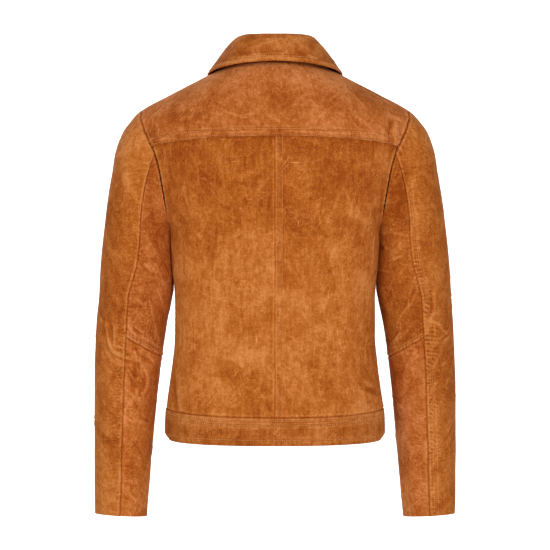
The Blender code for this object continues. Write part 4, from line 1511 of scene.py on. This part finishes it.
def make_waistband():
    rows = spread(BAND_HEIGHT, BAND_STEP)
    back_columns = spread(BAND_BACK_WIDTH, PANEL_STEP)
    front_columns = spread(BAND_SIDE_WIDTH, PANEL_STEP)
    edge = turn_at(-LAP, HEM_CENTRE + BAND_HEIGHT)
    back = even_grid(band_surface(SIDE, -SIDE, BACK), back_columns, rows)
    front = even_grid(band_surface(edge, SIDE, FRONT), front_columns, rows)
    normal = body_normal(front)
    lapped = front + normal * lap_rise(front[..., 0])[..., None]
    pieces = (
        ("waistband_back", back, body_normal(back), 1, ("start", "end")),
        ("waistband_left", front, normal, 1, ("end",)),
        ("waistband_right", lapped, normal, -1, ("end",)),
    )
    for name, points, outward, side, seams in pieces:
        dress_band(add_panel(name, points, outward, side, BAND_CLOTH, "stretched"), seams)


def dress_band(panel, seams):
    """Sewing of one stretch of the waistband, whose edges are folded where they aren't sewn on."""
    panel.rise += 0.25 * cloth_noise(panel.across, panel.down, 38, panel.seed)
    panel.rounded = [edge for edge in EDGES if edge not in seams]
    panel.wear += 0.55 * bump(panel.distance("top") - 2.2, 1.6)
    topstitch(panel, "top", 5.0, depth=0.6)
    topstitch(panel, "top", 11.0, depth=0.8)
    topstitch(panel, "bottom", 9.0, depth=0.5)
    low = smoothstep(1 - panel.distance("bottom") / HEM_ROUNDING_HEIGHT)
    at_the_side = bump(panel.points[..., 1], HEM_ROUNDING_REACH)
    panel.rise -= HEM_ROUNDING * low ** 2 * at_the_side
    puckers(panel, "top", 8, 6.5, 0.34, start=1.0)
    puckers(panel, "bottom", 11, 8.5, 0.22, vary=4, start=1.0)
    for edge in seams:
        seam_ridge(panel, edge, 0.5)


def make_collar():
    columns = spread(STAND_WIDTH, PANEL_STEP)
    rows = spread(STAND_LENGTH, STAND_STEP, ends=(False, True))
    stand = even_grid(stand_surface, columns, rows)
    panel = add_panel("collar_stand", stand, grid_normal(stand), 1, COLLAR_CLOTH, "stretched")
    seam_ridge(panel, "bottom", 0.4, dip=0.4)
    columns = spread(FALL_WIDTH, PANEL_STEP)
    rows = spread(FALL_LENGTH, FALL_STEP, ends=(False, True)) ** FALL_CROWDING
    under = even_grid(fall_surface, columns, rows)
    fall = under + grid_normal(under) * COLLAR_WALL
    dress_fall(add_panel("collar_fall", fall, grid_normal(fall), 1, COLLAR_CLOTH, "folded"))


def dress_fall(panel):
    from_edge = panel.distance("bottom")
    lie = cloth_noise(panel.across, panel.down, 46, panel.seed)
    panel.rise += 0.45 * lie * smoothstep(from_edge / 10)
    scatter_creases(panel, 40, 20, upright=False)
    scatter_creases(panel, 16, 22, upright=False, about=((0.5, 0.72), (0.09, 0.10)))
    panel.rounded = ("bottom", "start", "end")
    topstitch(panel, "bottom", 8.4, depth=1.3)
    panel.rise += 0.5 * bump(from_edge - 5.0, 3.0)
    topstitch(panel, "start", 9.4, first=6)
    topstitch(panel, "end", 9.4, first=6)
    puckers(panel, "bottom", 15, 8.0, 0.40, vary=683, start=1.0)
    panel.wear += 0.60 * bump(from_edge - 4.5, 2.6)
    panel.wear -= 0.45 * bump(from_edge - 13.0, 4.0)


def sleeve_rows(top, bottom, cap, length):
    """Shares down a sleeve piece: even steps along the cap, where it has one, and the rest."""
    if top >= 1:
        return spread(length, SLEEVE_STEP)
    on_cap = spread(cap, SLEEVE_STEP, ends=(True, False))[:-1]
    below = 1 + spread(length - cap, SLEEVE_STEP, ends=(False, True)) * (bottom - 1)
    return (np.concatenate([on_cap, below]) - top) / (bottom - top)


def make_sleeves():
    dress = {"upper": dress_upper, "under_arm": dress_under_arm, "under_forearm": dress_forearm}
    for side, arm in ((1, "left"), (-1, "right")):
        for piece in named(SLEEVE_PIECE_COLUMNS, SLEEVE_PIECES):
            top, bottom = piece["top"], piece["bottom"]
            columns = spread(piece["width"], piece["step"], last_step=piece["last_step"])
            rows = sleeve_rows(top, bottom, piece["cap"], piece["length"])
            surface = sleeve_surface(piece["first"], piece["last"], top, bottom)
            points = even_grid(surface, columns, rows)
            normal = grid_normal(points)
            points = points + normal * fold_rise(points, side)[..., None]
            panel = add_panel(f"sleeve_{piece['name']}_{arm}", points, normal, side)
            undulate(panel, SLEEVE_LIE)
            dress[piece["name"]](panel)


def dress_upper(panel):
    scatter_creases(panel, 44, 21, upright=False)
    seam_ridge(panel, "top", 1.4, at=4.4, width=2.8, dip=1.3, valley=2.4)
    puckers(panel, "top", 13, 9.5, 0.42)
    seam_ridge(panel, "end", 1.25, at=2.6, width=1.9, dip=0.4, valley=1.1)
    panel.rise += 0.35 * smoothstep((12 - panel.distance("end")) / 3)
    cap = window(panel.down, 6, 110, 45) * bump(panel.across - 0.61 * panel.width, 62)
    panel.rise += CAP_FULLNESS * cap
    low, high = (330, 470) if panel.side > 0 else (210, 500)
    puckers(panel, "end", 19, 5.6, 0.85, first=low - 60, last=high, vary=2, level=True)
    puckers(panel, "end", 10, 7.5, 0.32, vary=5, level=True)
    if panel.side < 0:
        topstitch(panel, "end", 11.0, first=60)
    seam_ridge(panel, "start", 0.6, dip=0.7)
    puckers(panel, "start", 8, 8.0, 0.25, vary=8)
    panel.rounded = ("bottom",)
    scatter_creases(panel, 12, 13, upright=False, about=((0.90, 0.63), (0.06, 0.05)))
    elbow = window(panel.along("end"), low, high, 30)
    panel.wear += 0.12 * elbow * bump(panel.distance("end"), 14)


def dress_under_arm(panel):
    scatter_creases(panel, 16, 21, upright=False)
    seam_ridge(panel, "top", 0.9, at=4.2, width=2.8, dip=1.6, valley=2.8)
    puckers(panel, "top", 10, 9.0, 0.35)
    seam_ridge(panel, "start", 0.25, dip=0.6, valley=1.3)
    puckers(panel, "start", 9, 7.0, 0.45, first=90, vary=5, level=True)
    seam_ridge(panel, "end", 0.5, dip=0.7)
    seam_ridge(panel, "bottom", 0.95, at=2.4, width=1.8, dip=0.8)
    topstitch(panel, "bottom", 7.5)
    puckers(panel, "bottom", 18, 6.2, 0.9 if panel.side > 0 else 1.2, last=66, vary=2)
    scatter_creases(panel, 10, 14, upright=False, about=((0.20, 0.86), (0.12, 0.05)))
    puckers(panel, "bottom", 9, 7.0, 0.30, first=62, vary=3)


def dress_forearm(panel):
    scatter_creases(panel, 16, 21, upright=False)
    seam_ridge(panel, "top", 0.3, dip=0.8)
    puckers(panel, "top", 10, 7.0, 0.34, last=62)
    scatter_creases(panel, 14, 14, upright=True, about=((0.22, 0.14), (0.12, 0.09)))
    seam_ridge(panel, "start", 0.25, dip=0.6, valley=1.3)
    seam_ridge(panel, "end", 0.5, dip=0.7)
    panel.rounded = ("bottom",)


def calm_shoulder(panel):
    """The seams lie flat where the shoulder, armhole and sleeve meet at the shoulder's tip."""
    tip = body(SIDE, ARMHOLE_TOP, BACK)
    for place in (tip, mirrored(tip)):
        away = np.linalg.norm(panel.points - place, axis=-1)
        panel.rise *= 1 - SHOULDER_CALM * bump(away, SHOULDER_REACH)


def press_underarm(panel):
    """Below the armpit the sleeve and the body bulge until they rest against each other."""
    x, y, height = panel.points[..., 0], panel.points[..., 1], panel.points[..., 2]
    level = window(height, UNDERARM_LOW, UNDERARM_HIGH, UNDERARM_FADE)
    if panel.name.startswith("sleeve_under"):
        facing = smoothstep(-panel.normal[..., 0] * np.sign(x) * 1.6)
        panel.rise += UNDERARM_SLEEVE_REST * level * facing
    elif panel.name.startswith(("back_", "front_")):
        beside = smoothstep((np.abs(x) - 120) / 30) * bump(y, 70)
        panel.rise += UNDERARM_BODY_REST * level * beside


def crease_panels():
    for (pieces, face), rows in CREASES.items():
        for panel in PANELS:
            stem, _, arm = panel.name.rpartition("_")
            sleeve = stem.startswith("sleeve") and pieces == "sleeve_" + arm
            if sleeve or panel.name == pieces:
                for crease in named(CREASE_COLUMNS, rows):
                    press_crease(panel, face, **crease)


def make_cloth():
    make_backs()
    make_yoke()
    make_fronts()
    make_waistband()
    make_collar()
    make_sleeves()
    crease_panels()
    lines = {}
    for panel in PANELS:
        calm_shoulder(panel)
        press_underarm(panel)
        rub(panel)
        # Painted light and shade by height.
        lightness_shift = PAINTED_SHADING.get(panel.name, (0,) * len(PAINTED_SHADING_HEIGHTS))
        panel.wear += np.interp(-panel.points[..., 2], -np.array(PAINTED_SHADING_HEIGHTS), lightness_shift)
        sew(panel)
        group = panel.name.split("_")[0]
        for line in panel.stitches:
            lines.setdefault(group, []).append(thread_line(panel, *line))
    for group, stitched in lines.items():
        sew_stitches("stitches_" + group, stitched)


def button_frame(place, normal):
    """Places local button points on the front: local Z is the normal, local Y points up."""
    up = unit(np.array((0.0, 0.0, 1.0)) - normal * normal[2])
    basis = np.stack([np.cross(up, normal), up, normal])

    def placed(points):
        return place + points @ basis

    return placed


def make_button(number, placed):
    """A turned horn button with four sewn holes, and the buttonhole's thread round its slit."""
    disc, faces = turned(BUTTON_OUTLINE, BUTTON_STEPS)
    rim, sides = turned(HOLE_OUTLINE, HOLE_STEPS)
    holes = [(rim + np.array((x, y, 0.0)), sides) for x in HOLE_PLACES for y in HOLE_PLACES]
    points, quads = joined([(disc, faces[:, ::-1])] + holes)
    mesh = quad_mesh(f"button_{number}", placed(points), quads)
    add_piece(f"horn_button_{number}", mesh, horn_material(), "horn", f"button_{number}")
    t = np.linspace(-1, 1, BUTTON_THREAD_POINTS)
    bowed = BUTTON_THREAD_LOW + BUTTON_THREAD_RISE * (1 - t ** 4)
    threads = [placed(np.stack([x + shift + 0 * t, HOLE_OFFSET * t, bowed], axis=-1))
               for x in HOLE_PLACES for shift in BUTTON_THREAD_SHIFTS]
    sew_tubes(f"button_thread_{number}", threads, BUTTON_THREAD_RADIUS)
    turn = np.linspace(0, 2 * math.pi, BUTTONHOLE_POINTS)
    across = BUTTONHOLE_SHIFT + BUTTONHOLE_HALF * np.cos(turn)
    slit = np.stack([across, BUTTONHOLE_SLIT * np.sin(turn), BUTTONHOLE_HEIGHT + 0 * turn], axis=-1)
    sew_tubes(f"buttonhole_{number}", [placed(slit)], BUTTONHOLE_THREAD_RADIUS)


def make_buttons():
    lowest = HEM_CENTRE + BAND_HEIGHT / 2
    for k, height in enumerate(np.linspace(BUTTON_TOP, lowest, BUTTON_COUNT)):
        base = body(0.0, height, FRONT)
        normal = body_normal(base)
        proud = LAP_STEP + SEAM_GAP
        if k == BUTTON_COUNT - 1:
            proud += BAND_PROUD + BAND_BELLY
        make_button(k + 1, button_frame(base + normal * proud, normal))


# ---------------- the studio

# The studio's sizes and places are in metres.
CAMERA_DISTANCE = 2.4
CAMERA_HEIGHT = -0.321
FOCAL_PIXELS = 1558.0
FRAME_PIXELS = 550.0
SENSOR = 36.0
FLOOR = -1.35
FLOOR_HALF = 14.0
WALL_Y = -3.4
WALL_HALF = 5.0
WALL_TOP = 3.2
WORLD_LIGHT = 0.33
LIGHT_COLUMNS = ("name", "place", "target", "size", "power")
LIGHTS = (
    ("key", (-1.1, 3.1, 0.6), (0, 0, -0.45), 1.3, 54),
    ("fill", (1.8, 2.7, 0.2), (0, 0, -0.45), 1.4, 31),
    ("front_fill", (1.4, -2.4, 1.4), (0, 0, -0.3), 1.6, 30),
)


def plain_material(name, colour, glow=0.0):
    nodes = Nodes(name)
    nodes.feed(nodes.shader, {
        "Base Color": colour,
        "Roughness": 0.9,
        "Emission Color": (1.0, 1.0, 1.0),
        "Emission Strength": glow,
    })
    return nodes.material


def add_sheet(name, corners, material):
    mesh = bpy.data.meshes.new(name)
    mesh.from_pydata(corners, [], [tuple(range(len(corners)))])
    mesh.materials.append(material)
    add_object(name, mesh)


def add_light(name, place, target, size, power):
    light = bpy.data.lights.new(name, "AREA")
    light.shape = "DISK"
    light.size = size
    light.energy = power
    lamp = add_object(name, light)
    lamp.location = place
    away = np.array(place) - np.array(target)
    flat = math.hypot(away[0], away[1])
    lamp.rotation_euler = (math.atan2(flat, away[2]), 0.0, math.atan2(away[0], -away[1]))


def make_studio():
    corners = ((-1, -1), (1, -1), (1, 1), (-1, 1))
    floor = [(x * FLOOR_HALF, y * FLOOR_HALF, FLOOR) for x, y in corners]
    add_sheet("floor", floor, plain_material("pale_floor", (0.86, 0.86, 0.86)))
    wall = [(x * WALL_HALF, WALL_Y, WALL_TOP if z > 0 else FLOOR) for x, z in corners]
    add_sheet("backdrop", wall, plain_material("white_backdrop", (0.9, 0.9, 0.9), 0.9))
    world = bpy.data.worlds.new("studio")
    bpy.context.scene.world = world
    world.use_nodes = True
    background = world.node_tree.nodes["Background"]
    background.inputs["Color"].default_value = (1.0, 1.0, 1.0, 1.0)
    background.inputs["Strength"].default_value = WORLD_LIGHT
    for light in named(LIGHT_COLUMNS, LIGHTS):
        add_light(**light)
    view = bpy.context.scene.view_settings
    view.view_transform = "Standard"
    view.look = "None"


def make_camera():
    camera = bpy.data.cameras.new("camera")
    camera.sensor_width = SENSOR
    camera.lens = FOCAL_PIXELS / FRAME_PIXELS * SENSOR
    holder = add_object("camera", camera)
    holder.location = (0.0, CAMERA_DISTANCE, CAMERA_HEIGHT)
    holder.rotation_euler = (math.pi / 2, 0.0, math.pi)
    bpy.context.scene.camera = holder


make_camera()
make_cloth()
make_buttons()
make_studio()
